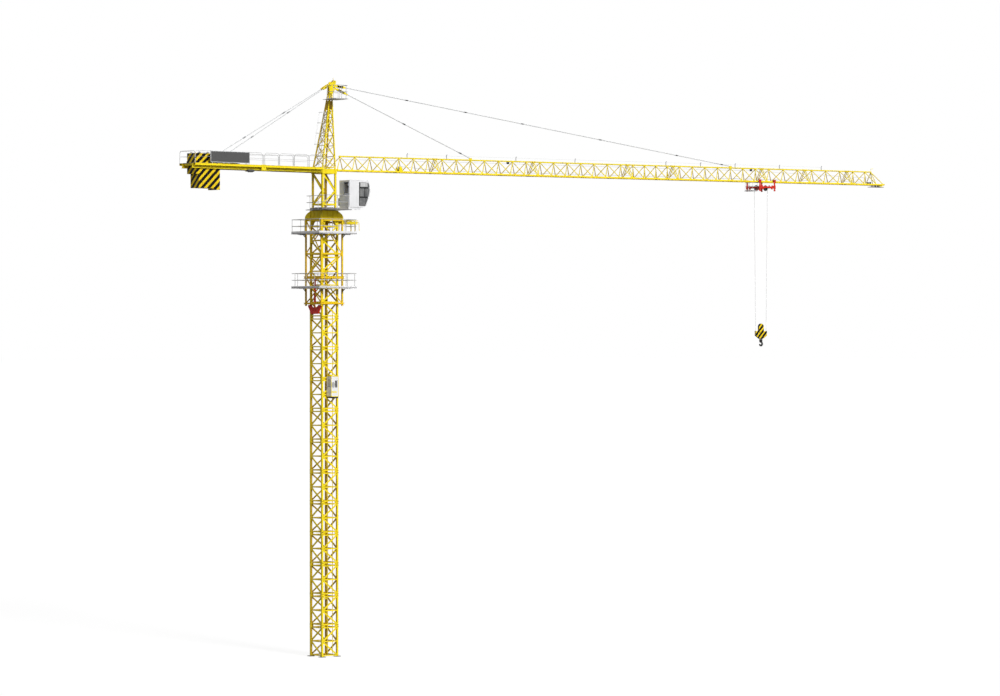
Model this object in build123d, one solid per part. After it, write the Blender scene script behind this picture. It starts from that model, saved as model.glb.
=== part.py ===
# Tower crane with hammerhead jib, a half-size scale model, drawn in millimetres
# The origin is the centre of the mast on the ground, X runs out along the jib and Z is up
import os
from math import atan2, cos, degrees, hypot, radians, sin

from build123d import *

os.makedirs("parts", exist_ok=True)

# Mast
section_height = 1250
section_count = 14
mast_spacing = 755
mast_leg = 74
mast_diagonal = 48
mast_horizontal = 36
mast_bracing_depth = 36
mast_joint_offset = 65
mast_gusset = 70

# Anchor feet under the mast legs
foot_size = 220
foot_thickness = 24
foot_hole_radius = 14
foot_hole_offset = 75

# Turntable support on top of the mast
neck_wall = 90
neck_height = 254
neck_arch_width = 540
neck_arch_height = 196
support_sides = 8
support_rim = 150
support_height = 329
support_wall = 24
shaft_radius = 250

# Slewing ring and turntable
ring_height = 57
ring_outer_radius = 370
ring_inner_radius = 300
ring_pocket_clearance = 6
turntable_rim = 48
turntable_gap = 7
turntable_height = 110

# Climbing cage round the mast
cage_gap = 95.5
cage_leg = 60
cage_height = 3534
cage_bracing_depth = 30
cage_beam = 70
cage_bar = 40
cage_lower_offset = 97
cage_middle_offset = 1151
cage_upper_offset = 2110
cage_top_beam = 100

# Cage platforms and their railings
platform_width = 395
platform_thickness = 16
upper_platform_drop = 597
lower_platform_rise = 751
railing_height = 570
railing_bar = 18
railing_inset = 9
railing_corner_gap = 2
railing_gate_half = 240
platform_bays = 3
gate_bays = 2

# Rail that brings in new mast sections
loading_rail_overhang = 625
loading_rail_spacing = 300
loading_rail_bar = 50
loading_rail_height = 80
loading_rail_drop = 134
hanger_bar = 16
hanger_reach = 320
hanger_inset = 75

# Climbing cylinder and its crosshead
cylinder_radius = 38
cylinder_drop = 71
cylinder_length = 964
cylinder_bracket_width = 130
rod_radius = 22
rod_clearance = 0.4
rod_cover = 120
crosshead_gap = 80
crosshead_height = 366
crosshead_thickness = 56
crosshead_top_width = 860
crosshead_bottom_width = 450
crosshead_side = 60
crosshead_arm = 150
crosshead_recess = 90
crosshead_recess_slope = 130

# Lift on the mast
lift_rail_spacing = 240
lift_rail_width = 26
lift_rail_depth = 30
lift_rail_bottom = 140
lift_rail_gap = 160
lift_width = 370
lift_depth = 300
lift_height = 840
lift_bottom = 10540
lift_gap = 6
lift_wall = 12
lift_doorway_width = 220
lift_doorway_height = 720
lift_window_width = 180
lift_window_height = 260
lift_window_sill = 440
lift_shoe_height = 60
lift_shoe_gap = 0.3

# Slewing deck beside the turntable, with its railing
deck_thickness = 20
deck_rear_width = 320
deck_right_width = 825
deck_left_inset = 110
deck_front_width = 135
deck_rear_bays = 4
deck_right_bays = 3
deck_left_bays = 1

# Slewing tower and heel frame
slew_spacing = 640
slew_leg = 60
slew_bar = 36
slew_bracing_depth = 30
slew_height = 1372
slew_low_bar = 130
heel_beam_width = 90
heel_frame_height = 203
heel_drop = 45
heel_lug_width = 80
heel_lug_half_height = 48
heel_lug_reach = 65
heel_lug_overlap = 20
heel_boss_radius = 44
heel_boss_width = 104
heel_boss_gap = 3

# Tower head
head_height = 3075
head_top_half = 52
head_top_rear = 244
head_top_front = 348
head_leg = 46
head_bar = 26
head_bracing_depth = 26
head_root = 60
head_panels = 7
head_bracing_height = 2640
head_plate_height = 360
head_taper = 1.25
head_node = 40

# Cap on the tower head, given as steps forward of the front legs and up from the head
cap_rear_reach = 126
cap_foot_reach = 56
cap_chest_reach = 172
cap_chest_rise = 190
cap_peak_reach = 212
cap_peak_rise = 520
cap_brow_reach = 110
cap_brow_rise = 540
cap_nape_rise = 330
cap_width = 130
cap_sheave_reach = -48
cap_sheave_rise = 400
cap_sheave_radius = 76
cap_sheave_width = 30
cap_rod_radius = 9
cap_rod_reach = 110
cap_rod_rise = 638

# Head platform, railing and ladder
head_platform_drop = 237
head_platform_rear_width = 184
head_platform_front_width = 372
head_platform_right_width = 628
head_platform_left_width = 118
head_gate_half = 110
head_platform_thickness = 14
head_railing_height = 560
head_railing_bays = 2
ladder_width = 180
ladder_stringer = 18
ladder_rung = 10
ladder_spacing = 130
ladder_depth = 16
ladder_foot = 100
ladder_top_gap = 675

# Jib
jib_incline = 0.458
jib_height = 580
jib_spacing = 690
jib_section_lengths = [5306, 5306, 5306, 2653, 5306, 2653, 2653]
jib_section_bays = [7, 7, 7, 4, 7, 3, 3]
tip_bay = 770
tip_bays = 2
tip_slope_run = 447
chord_size = 56
chord_chamfer = 30
runway_width = 30
runway_thickness = 8
top_chord_size = 42
top_chord_chamfer = 22
web_bar = 27
web_depth = 21
web_node = 12
splice_offset = 45
floor_bar = 24
floor_depth = 20
floor_node = 10
nose_beam = 60
nose_beam_half_height = 36
nose_length = 250
nose_width = 110
nose_height = 70

# Ties
tie_radius = 15
link_width = 66
link_thickness = 30
outer_tie_reach = 21982
inner_tie_reach = 7201
tie_lug_length = 150
tie_lug_width = 26
tie_lug_height = 70
tie_lug_aim = 48
tie_pin_reach = 92
outer_tie_rise = 338
inner_tie_rise = 262
outer_link_length = 650
inner_link_length = 790
counter_tie_radius = 12
counter_pin_reach = 120
counter_pin_y = 36
counter_pin_rise = 478
counter_link_length = 640

# Counter-jib
counter_length = 6365
counter_beam_width = 80
counter_beam_height = 195
counter_beam_flange = 26
counter_beam_web = 30
counter_deck_rise = 40
counter_deck_thickness = 8
counter_walkway = 205
counter_cross_bar = 44
counter_cross_height = 90
counter_bays = 7
counter_bar_gap = 80
counter_tail_gap = 90
counter_outrigger_gap = 380
counter_joint_share = 0.478
counter_railing_height = 490
counter_railing_bays = 4
counter_tail_bays = 2
counter_lug_offset = 830
counter_lug_shift = 20
counter_lug_length = 130
counter_lug_width = 14
counter_lug_height = 76
counter_lug_aim = 46

# Counterweights
slab_tail_gap = 200
slab_pack_length = 1170
slab_gap = 4
slab_rear_thickness = 160
slab_count = 6
slab_side_gap = 10
slab_ear_reach = 40
slab_ear_height = 90
slab_rise = 395
slab_height = 1370
slab_rear_height = 820
slab_front_height = 1430
slab_opening_margin = 15

# Blank board on the counter-jib railing
board_tail_gap = 730
board_length = 1900
board_rise = 35
board_height = 455
board_thickness = 12

# Hoist winch
winch_gap = 560
winch_base_length = 860
winch_base_width = 500
winch_base_height = 40
winch_drum_radius = 130
winch_drum_length = 260
winch_flange_radius = 175
winch_flange_width = 16
winch_axle_height = 200
winch_drum_offset = -150
winch_motor_radius = 105
winch_motor_sink = 12
winch_motor_length = 330
winch_motor_offset = 255
winch_stand_width = 30
winch_stand_length = 160

# Trolley winch inside the jib
jib_winch_s = 3420
jib_winch_length = 420
jib_winch_width = 300
jib_winch_base_height = 24
jib_winch_drum_radius = 82
jib_winch_drum_length = 200
jib_winch_axle_height = 122
jib_winch_stand = 24

# Operator's cab
cab_length = 1070
cab_width = 675
cab_height = 1090
cab_wall = 20
cab_roof_thickness = 40
cab_floor_thickness = 30
cab_nose_level = 800
cab_nose_inset = 300
cab_nose_bulge = 80
cab_brow_inset = 140
cab_brow_bulge = 30
cab_waist_level = 420
cab_mullion = 40
cab_window_rear_gap = 520
cab_window_foot = 70
cab_window_head = 75
cab_glass_thickness = 8
cab_frame_beam = 70
cab_beam_inset = 60
cab_frame_length = 565
cab_doorway_gap = 45
cab_doorway_width = 330
cab_door_gap = 5
cab_hinge_offset = 9
cab_hinge_radius = 8.6
cab_hinge_length = 90
cab_hinge_margin = 200
cab_door_rail = 50
cab_door_sill = 580

# Trolley
trolley_s = 23830
trolley_length = 900
trolley_depth = 431
trolley_plate = 16
trolley_clearance = 6
trolley_bar = 44
trolley_top = 70
wheel_radius = 42
wheel_width = 20
wheel_gap = 0.3
wheel_axle_radius = 14
wheel_inset = 50
cross_beam = 32
sheave_radius = 68
sheave_width = 34
sheave_axle_radius = 15
sheave_drop = 300
basket_length = 320
basket_half_width = 260
basket_thickness = 12
basket_clearance = 16
basket_bays = 1

# Hoist ropes and hook block
rope_radius = 8
rope_gap = 0.4
rope_side_gap = 10
rope_spread = 317
rope_drop = 6530
block_sheave_radius = 78
block_sheave_width = 30
block_plate = 16
block_plate_gap = 46
block_half_width = 340
block_low_half_width = 250
block_shoulder_rise = 178
block_foot_drop = 179
block_oval_radius = 150
block_oval_rise = 360
block_pin_radius = 16
crosspiece_length = 130
crosspiece_height = 74

# Hook
shank_radius = 24
shank_length = 121
hook_radius = 92
hook_bar_radius = 25
hook_bar_sides = 10
hook_sweep_angle = 295

# Levels and half widths of the tower
mast_top = section_height * section_count
mast_half = mast_spacing / 2
mast_clear = mast_half - mast_leg / 2
mast_face = mast_half + mast_leg / 2
support_z = mast_top + neck_height
ring_z = support_z + support_height
turntable_z = ring_z + turntable_gap
turntable_half = ring_outer_radius + ring_pocket_clearance + turntable_rim / 2
turntable_top = turntable_z + turntable_height
deck_top = turntable_z + deck_thickness
cage_half = mast_face + cage_gap + cage_bracing_depth / 2
cage_face = cage_half + cage_leg / 2
cage_clear = cage_half - cage_leg / 2
cage_bottom = support_z - cage_height
cage_lower_beam = cage_bottom + cage_lower_offset
cage_middle_beam = cage_bottom + cage_middle_offset
cage_upper_beam = cage_bottom + cage_upper_offset
support_base_radius = hypot(cage_half, cage_half)
support_top_radius = ring_outer_radius + support_rim
platform_half = cage_face + platform_width
upper_platform_top = support_z - upper_platform_drop
lower_platform_top = cage_bottom + lower_platform_rise
loading_rail_end = platform_half + loading_rail_overhang
loading_rail_middle = support_z - loading_rail_drop
loading_rail_bottom = loading_rail_middle - loading_rail_height / 2
cylinder_x = -(mast_face + cage_half - cage_bracing_depth / 2) / 2
cylinder_top = cage_middle_beam - cylinder_drop
cylinder_bottom = cylinder_top - cylinder_length
rod_top = cylinder_top - rod_cover
crosshead_top = cylinder_bottom - crosshead_gap
crosshead_bottom = crosshead_top - crosshead_height
lift_rail_top = cage_bottom - lift_rail_gap

# Levels and places of the turning part
slew_half = slew_spacing / 2
slew_clear = slew_half - slew_leg / 2
heel_frame_bottom = turntable_top + slew_height
heel_frame_top = heel_frame_bottom + heel_frame_height
heel_frame_outer = slew_half + heel_beam_width / 2
heel_x = heel_frame_outer + heel_lug_reach
heel_z = heel_frame_top - heel_drop
head_top = heel_frame_top + head_height
head_platform_top = head_top - head_platform_drop
chord_half = chord_size / 2
jib_half = jib_spacing / 2
web_length = hypot(jib_half, jib_height)
jib_sections = list(zip(jib_section_lengths, jib_section_bays))
counter_start = -heel_frame_outer
counter_tail = counter_start - counter_length
counter_deck_top = heel_frame_top + counter_deck_rise
counter_beam_top = counter_deck_top - counter_deck_thickness
counter_beam_bottom = counter_beam_top - counter_beam_height
counter_half_width = jib_half + counter_walkway
counter_joint = counter_start - counter_length * counter_joint_share
slab_rear = counter_tail + slab_tail_gap
slab_front = slab_rear + slab_pack_length
slab_top = counter_deck_top + slab_rise
slab_half = jib_half - counter_beam_width / 2 - slab_side_gap
counter_lug_x = slab_rear + counter_lug_offset
counter_lug_y = jib_half + counter_lug_shift
deck_rear = -turntable_half - deck_rear_width
cab_rear = turntable_half - cab_frame_beam / 2
deck_front = cab_rear + deck_front_width
deck_right = -turntable_half - deck_right_width
deck_left = turntable_half - deck_left_inset
cab_front = cab_rear + cab_length
cab_right = deck_right
cab_left = cab_right + cab_width
cab_bottom = turntable_top
cab_top = cab_bottom + cab_height


# Helpers
def block(x0, x1, y0, y1, z0, z1):
    middle = Pos((x0 + x1) / 2, (y0 + y1) / 2, (z0 + z1) / 2)
    return middle * Box(abs(x1 - x0), abs(y1 - y0), abs(z1 - z0))


def bar(p, q, width):
    run = q[0] - p[0]
    rise = q[1] - p[1]
    middle = Pos((p[0] + q[0]) / 2, (p[1] + q[1]) / 2)
    return middle * Rot(0, 0, degrees(atan2(rise, run))) * Rectangle(hypot(run, rise), width)


def window(u0, u1, v0, v1):
    return Pos((u0 + u1) / 2, (v0 + v1) / 2) * Rectangle(u1 - u0, v1 - v0)


def plate(plane, sketch, depth):
    return extrude(plane * sketch, amount=depth / 2, both=True)


def face_xz(y):
    return Plane(origin=(0, y, 0), x_dir=(1, 0, 0), z_dir=(0, -1, 0))


def face_yz(x):
    return Plane(origin=(x, 0, 0), x_dir=(0, 1, 0), z_dir=(1, 0, 0))


def face_xy(z):
    return Plane(origin=(0, 0, z), x_dir=(1, 0, 0), z_dir=(0, 0, 1))


def along(p, q, side=(0, 1, 0)):
    axis = Vector(*q) - Vector(*p)
    return Plane(origin=p, x_dir=Vector(*side).cross(axis), z_dir=axis)


def round_bar(p, q, radius):
    length = (Vector(*q) - Vector(*p)).length
    return extrude(along(p, q) * Circle(radius), amount=length)


def flat_bar(p, q, height, width):
    length = (Vector(*q) - Vector(*p)).length
    return extrude(along(p, q) * Rectangle(height, width), amount=length)


def point_between(p, q, distance):
    start = Vector(*p)
    step = (Vector(*q) - start).normalized() * distance
    return tuple(start + step)


def railing(u0, u1, v0, height, bays):
    half_bar = railing_bar / 2
    step = (u1 - u0 - railing_bar) / bays
    bars = []
    for post in range(bays + 1):
        u = u0 + half_bar + post * step
        bars.append(bar((u, v0), (u, v0 + height), railing_bar))
    for level in (height / 2, height - half_bar):
        bars.append(bar((u0, v0 + level), (u1, v0 + level), railing_bar))
    return Sketch() + bars


def save(name, *shapes):
    solids = []
    for shape in shapes:
        solids.extend(shape.solids())
    whole = solids[0] if len(solids) == 1 else Compound(children=solids)
    export_step(whole, f"parts/{name}.step")


# Anchor feet
feet = []
for x_side in (-1, 1):
    for y_side in (-1, 1):
        outline = Rectangle(foot_size, foot_size)
        for hole_side in (-1, 1):
            hole = Pos(x_side * hole_side * foot_hole_offset, y_side * hole_side * foot_hole_offset)
            outline = outline - hole * Circle(foot_hole_radius)
        foot = extrude(outline, amount=foot_thickness)
        feet.append(Pos(x_side * mast_half, y_side * mast_half) * foot)
save("anchor_feet", *feet)

# Mast
mast_bars = []
gusset_u = mast_clear - mast_gusset / 2
for section in range(section_count):
    base = section * section_height
    low = base + mast_joint_offset
    middle = base + section_height / 2
    high = base + section_height - mast_joint_offset
    for level in (low, middle, high):
        mast_bars.append(bar((-mast_half, level), (mast_half, level), mast_horizontal))
    mast_bars.append(bar((mast_half, low), (-mast_half, middle), mast_diagonal))
    mast_bars.append(bar((-mast_half, middle), (mast_half, high), mast_diagonal))
    for u in (-gusset_u, gusset_u):
        mast_bars.append(bar((u, base), (u, low), mast_gusset))
        mast_bars.append(bar((u, high), (u, base + section_height), mast_gusset))
mast_pattern = Sketch() + mast_bars
mast_pattern = mast_pattern & window(-mast_clear, mast_clear, foot_thickness, mast_top)
mast_side = plate(face_xz(-mast_half), mast_pattern, mast_bracing_depth)
right_legs = []
for x_side in (-1, 1):
    x = x_side * mast_half
    leg_half = mast_leg / 2
    right_legs.append(
        block(x - leg_half, x + leg_half, -mast_half - leg_half, -mast_clear, foot_thickness, mast_top)
    )
mast_right = mast_side + right_legs
mast_left = Rot(0, 0, 180) * mast_right
save("mast_side_frames", mast_right, mast_left)
save("mast_cross_bracing", Rot(0, 0, -90) * mast_side, Rot(0, 0, 90) * mast_side)

# Turntable support
neck = block(-mast_face, mast_face, -mast_face, mast_face, mast_top, support_z)
neck_inside = mast_face - neck_wall
neck = neck - block(-neck_inside, neck_inside, -neck_inside, neck_inside, mast_top, support_z)
arch = Pos(0, mast_top) * Ellipse(neck_arch_width / 2, neck_arch_height)
for face in (face_xz(0), face_yz(0)):
    neck = neck - plate(face, arch, 2 * mast_face)


def eight_sided(level, radius):
    return face_xy(level) * RegularPolygon(radius, support_sides)


support = loft([eight_sided(support_z, support_base_radius), eight_sided(ring_z, support_top_radius)])
inset = 2 * support_wall
hollow = loft(
    [
        eight_sided(support_z + support_wall, support_base_radius - inset),
        eight_sided(ring_z - support_wall, support_top_radius - inset),
    ]
)
shaft = Pos(0, 0, (support_z + ring_z) / 2) * Cylinder(shaft_radius, support_height)
save("turntable_support", neck + (support - hollow - shaft))

# Slewing ring and turntable
ring_sketch = Circle(ring_outer_radius) - Circle(ring_inner_radius)
save("slewing_ring", extrude(face_xy(ring_z) * ring_sketch, amount=ring_height))
turntable_outline = Rectangle(2 * turntable_half, 2 * turntable_half)
turntable = extrude(face_xy(turntable_z) * turntable_outline, amount=turntable_height)
pocket_radius = ring_outer_radius + ring_pocket_clearance
pocket_depth = ring_z + ring_height - turntable_z
turntable = turntable - extrude(face_xy(turntable_z) * Circle(pocket_radius), amount=pocket_depth)
turntable = turntable - extrude(face_xy(turntable_z) * Circle(shaft_radius), amount=turntable_height)
save("turntable", turntable)

# Climbing cage
cage_beam_levels = [cage_lower_beam, cage_middle_beam, cage_upper_beam]
cage_ring = []
for level in cage_beam_levels:
    cage_ring.append(bar((-cage_half, level), (cage_half, level), cage_beam))
top_beam_level = support_z - cage_top_beam / 2
cage_ring.append(bar((-cage_half, top_beam_level), (cage_half, top_beam_level), cage_top_beam))
cage_diagonals = []
cage_marks = [cage_lower_beam, cage_middle_beam, cage_upper_beam, top_beam_level]
for panel in range(len(cage_marks) - 1):
    side = -1 if panel % 2 else 1
    start = (side * cage_half, cage_marks[panel])
    finish = (-side * cage_half, cage_marks[panel + 1])
    cage_diagonals.append(bar(start, finish, cage_bar))
cage_clip = window(-cage_clear, cage_clear, cage_bottom, support_z)
cage_braced = (Sketch() + cage_ring + cage_diagonals) & cage_clip
cage_side = plate(face_xz(-cage_half), cage_braced, cage_bracing_depth)
cage_legs = []
for x_side in (-1, 1):
    x = x_side * cage_half
    leg_half = cage_leg / 2
    cage_legs.append(
        block(x - leg_half, x + leg_half, -cage_half - leg_half, -cage_clear, cage_bottom, support_z)
    )
cage_right = cage_side + cage_legs
cage_left = Rot(0, 0, 180) * cage_right
save("cage_side_frames", cage_right, cage_left)
cage_rear = Rot(0, 0, -90) * cage_side
front_bars = []
for level in (cage_lower_beam, loading_rail_middle):
    front_bar_shape = bar((-cage_clear, level), (cage_clear, level), cage_beam)
    front_bars.append(plate(face_yz(cage_half), front_bar_shape, cage_bracing_depth))
save("cage_cross_bracing", cage_rear, *front_bars)

# Cage platforms and railings
railing_line = platform_half - railing_inset
short_end = railing_line - railing_bar / 2 - railing_corner_gap


def platform(top):
    outline = Rectangle(2 * platform_half, 2 * platform_half) - Rectangle(2 * cage_face, 2 * cage_face)
    return extrude(face_xy(top - platform_thickness) * outline, amount=platform_thickness)


def railing_ring(top, gate):
    full = railing(-platform_half, platform_half, top, railing_height, platform_bays)
    short = railing(-short_end, short_end, top, railing_height, platform_bays)
    panels = [
        plate(face_xz(-railing_line), full, railing_bar),
        plate(face_xz(railing_line), full, railing_bar),
        plate(face_yz(-railing_line), short, railing_bar),
    ]
    if gate:
        for u0, u1 in ((-short_end, -gate), (gate, short_end)):
            half_panel = railing(u0, u1, top, railing_height, gate_bays)
            panels.append(plate(face_yz(railing_line), half_panel, railing_bar))
    else:
        panels.append(plate(face_yz(railing_line), short, railing_bar))
    return panels


save("cage_platforms", platform(upper_platform_top), platform(lower_platform_top))
upper_railing = railing_ring(upper_platform_top, railing_gate_half)
lower_railing = railing_ring(lower_platform_top, 0)
save("cage_railings", *upper_railing, *lower_railing)

# Loading rail
rail_y = loading_rail_spacing / 2
rail_start = cage_half + cage_bracing_depth / 2
rail_bars = []
for y in (-rail_y, rail_y):
    rail_bars.append(bar((rail_start, y), (loading_rail_end, y), loading_rail_bar))
rail_end = loading_rail_end - loading_rail_bar / 2
rail_bars.append(bar((rail_end, -rail_y), (rail_end, rail_y), loading_rail_bar))
loading_rail = extrude(face_xy(loading_rail_bottom) * (Sketch() + rail_bars), amount=loading_rail_height)
hangers = []
hanger_shape = Rectangle(hanger_bar, hanger_bar)
for x in (platform_half - hanger_inset, loading_rail_end - hanger_inset):
    hanger_start = face_xy(loading_rail_bottom) * Pos(x, rail_y) * hanger_shape
    hangers.append(extrude(hanger_start, amount=-hanger_reach))
save("loading_rail", loading_rail + hangers)

# Climbing cylinder and crosshead
barrel = Pos(cylinder_x, 0, (cylinder_top + cylinder_bottom) / 2) * Cylinder(cylinder_radius, cylinder_length)
bore_height = rod_top - cylinder_bottom + rod_radius
bore_place = Pos(cylinder_x, 0, cylinder_bottom + bore_height / 2)
bore = bore_place * Cylinder(rod_radius + rod_clearance, bore_height)
bracket_inner = cylinder_x + cylinder_radius
bracket_outer = -cage_half + cage_bracing_depth / 2
bracket_half = cylinder_bracket_width / 2
bracket_top = cage_middle_beam + cage_beam / 2
bracket = block(bracket_outer, bracket_inner, -bracket_half, bracket_half, cylinder_top, bracket_top)
save("climbing_cylinder", barrel - bore + bracket)
crosshead_seat = crosshead_top - crosshead_recess
rod_height = rod_top - crosshead_seat
ram = Pos(cylinder_x, 0, crosshead_seat + rod_height / 2) * Cylinder(rod_radius, rod_height)
arm_inner = crosshead_top_width / 2 - crosshead_arm
seat_half = arm_inner - crosshead_recess_slope
crosshead_shape = make_face(
    Polyline(
        (-crosshead_top_width / 2, crosshead_top),
        (-arm_inner, crosshead_top),
        (-seat_half, crosshead_seat),
        (seat_half, crosshead_seat),
        (arm_inner, crosshead_top),
        (crosshead_top_width / 2, crosshead_top),
        (crosshead_top_width / 2, crosshead_top - crosshead_side),
        (crosshead_bottom_width / 2, crosshead_bottom),
        (-crosshead_bottom_width / 2, crosshead_bottom),
        (-crosshead_top_width / 2, crosshead_top - crosshead_side),
        close=True,
    )
)
crosshead = plate(face_yz(cylinder_x), crosshead_shape, crosshead_thickness)
save("climbing_crosshead", crosshead + ram)

# Lift and its rails
bracing_face = -mast_half - mast_bracing_depth / 2
lift_rail_face = bracing_face - lift_rail_depth
lift_rails = []
for side in (-1, 1):
    x = side * lift_rail_spacing / 2
    half_width = lift_rail_width / 2
    lift_rails.append(
        block(x - half_width, x + half_width, lift_rail_face, bracing_face, lift_rail_bottom, lift_rail_top)
    )
save("lift_rails", *lift_rails)
lift_back = lift_rail_face - lift_gap
lift_front = lift_back - lift_depth
lift_half = lift_width / 2
lift_top = lift_bottom + lift_height
lift_car = block(-lift_half, lift_half, lift_front, lift_back, lift_bottom, lift_top)
inner_half = lift_half - lift_wall
lift_floor = lift_bottom + lift_wall
lift_ceiling = lift_top - lift_wall
lift_room = block(
    -inner_half, inner_half, lift_front + lift_wall, lift_back - lift_wall, lift_floor, lift_ceiling
)
lift_car = lift_car - lift_room
lift_middle_y = (lift_front + lift_back) / 2
doorway_right = lift_middle_y - lift_doorway_width / 2
doorway_left = lift_middle_y + lift_doorway_width / 2
doorway_top = lift_floor + lift_doorway_height
lift_car = lift_car - block(inner_half, lift_half, doorway_right, doorway_left, lift_floor, doorway_top)
sill = lift_bottom + lift_window_sill
lintel = sill + lift_window_height
window_half = lift_window_width / 2
window_right = lift_middle_y - window_half
window_left = lift_middle_y + window_half
lift_car = lift_car - block(-window_half, window_half, lift_front, lift_front + lift_wall, sill, lintel)
lift_car = lift_car - block(-lift_half, -inner_half, window_right, window_left, sill, lintel)
shoes = []
for level in (lift_bottom, lift_top - lift_shoe_height):
    shoe_half = lift_rail_spacing / 2 - lift_rail_width / 2 - lift_shoe_gap
    shoe_face = bracing_face - lift_gap
    shoes.append(block(-shoe_half, shoe_half, lift_back, shoe_face, level, level + lift_shoe_height))
save("lift_car", lift_car + shoes)

# Slewing deck and railing
rear_strip = window(deck_rear, -turntable_half, deck_right, deck_left)
side_strip = window(-turntable_half, deck_front, deck_right, -turntable_half)
deck = extrude(face_xy(turntable_z) * (rear_strip + side_strip), amount=deck_thickness)
save("slewing_deck", deck)
rear_line = deck_rear + railing_inset
right_line = deck_right + railing_inset
left_line = deck_left - railing_inset
rear_panel = railing(deck_right, deck_left, deck_top, railing_height, deck_rear_bays)
side_start = rear_line + railing_bar / 2 + railing_corner_gap
right_end = cab_rear - cab_frame_beam / 2 - railing_inset
right_panel = railing(side_start, right_end, deck_top, railing_height, deck_right_bays)
left_panel = railing(side_start, -turntable_half, deck_top, railing_height, deck_left_bays)
save(
    "slewing_railing",
    plate(face_yz(rear_line), rear_panel, railing_bar),
    plate(face_xz(right_line), right_panel, railing_bar),
    plate(face_xz(left_line), left_panel, railing_bar),
)

# Slewing tower
slew_middle = (turntable_top + heel_frame_bottom) / 2
slew_low = turntable_top + slew_low_bar
slew_node = slew_clear - slew_bar / 2
slew_bars = [
    bar((-slew_half, slew_low), (slew_half, slew_low), slew_bar),
    bar((-slew_clear, slew_low), (slew_clear, slew_middle), slew_bar),
    bar((slew_clear, slew_middle), (-slew_clear, heel_frame_bottom), slew_bar),
    bar((slew_node, slew_middle - slew_bar), (slew_node, slew_middle + slew_bar), slew_bar),
]
slew_clip = window(-slew_clear, slew_clear, turntable_top, heel_frame_bottom)
slew_side = plate(face_xz(-slew_half), (Sketch() + slew_bars) & slew_clip, slew_bracing_depth)
slew_legs = []
for x_side in (-1, 1):
    x = x_side * slew_half
    leg_half = slew_leg / 2
    slew_legs.append(
        block(
            x - leg_half, x + leg_half, -slew_half - leg_half, -slew_clear, turntable_top, heel_frame_bottom
        )
    )
slew_right = slew_side + slew_legs
slew_rear = Rot(0, 0, -90) * slew_side
save("slewing_tower_frames", slew_right, mirror(slew_right, about=Plane.XZ))
save("slewing_tower_bracing", slew_rear, mirror(slew_rear, about=Plane.YZ))

# Heel frame, with the lugs that carry the jib
jib_place = Pos(heel_x, 0, heel_z) * Rot(0, -jib_incline, 0)
heel_reach = jib_half + heel_lug_width / 2
heel_bars = []
for side in (-1, 1):
    line = side * slew_half
    heel_bars.append(bar((-heel_frame_outer, line), (heel_frame_outer, line), heel_beam_width))
    heel_bars.append(bar((line, -heel_reach), (line, heel_reach), heel_beam_width))
heel_frame = extrude(face_xy(heel_frame_bottom) * (Sketch() + heel_bars), amount=heel_frame_height)
lugs = []
lug_half = heel_lug_width / 2
lug_rear = -heel_lug_reach - heel_lug_overlap
boss_s = -heel_boss_radius - heel_boss_gap
for side in (-1, 1):
    y = side * jib_half
    lug = block(lug_rear, 0, y - lug_half, y + lug_half, -heel_lug_half_height, heel_lug_half_height)
    boss = Pos(boss_s, y, 0) * Rot(90, 0, 0) * Cylinder(heel_boss_radius, heel_boss_width)
    lugs.append(jib_place * (lug + boss))
save("heel_frame", heel_frame + lugs)

# Tower head
rear_rate = (head_top_rear + slew_half) / head_height
front_rate = (head_top_front - slew_half) / head_height
side_rate = (slew_half - head_top_half) / head_height
head_lean = atan2(side_rate, 1)
side_stretch = 1 / cos(head_lean)
head_reach = heel_frame_outer + head_top_front
head_clip = block(-head_reach, head_reach, -head_reach, head_reach, heel_frame_top, head_top)


def head_rear_x(height):
    return -slew_half + rear_rate * height


def head_front_x(height):
    return slew_half + front_rate * height


def head_half_y(height):
    return slew_half - side_rate * height


side_legs = []
for edge in (head_rear_x, head_front_x):
    low_point = (edge(-head_root), -head_root * side_stretch)
    high_point = (edge(head_height + head_root), (head_height + head_root) * side_stretch)
    side_legs.append(bar(low_point, high_point, head_leg))
head_steps = []
for n in range(head_panels):
    left_over = (1 - n / head_panels) ** head_taper
    head_steps.append(head_root + (head_bracing_height - head_root) * (1 - left_over))
side_bars = []
for height in (head_steps[0], head_steps[-1]):
    v = height * side_stretch
    side_bars.append(bar((head_rear_x(height), v), (head_front_x(height), v), head_bar))
for low, high in zip(head_steps, head_steps[1:]):
    low_v = low * side_stretch
    high_v = high * side_stretch
    side_bars.append(bar((head_rear_x(low), low_v), (head_front_x(high), high_v), head_bar))
    side_bars.append(bar((head_front_x(low), low_v), (head_rear_x(high), high_v), head_bar))
right_plane = Plane(
    origin=(0, -slew_half, heel_frame_top), x_dir=(1, 0, 0), z_dir=(0, -cos(head_lean), sin(head_lean))
)
head_right = plate(right_plane, Sketch() + side_legs, head_leg)
head_right = head_right + plate(right_plane, Sketch() + side_bars, head_bracing_depth)
head_right = head_right & head_clip
head_left = mirror(head_right, about=Plane.XZ)
save("head_side_frames", head_right, head_left)


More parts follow.
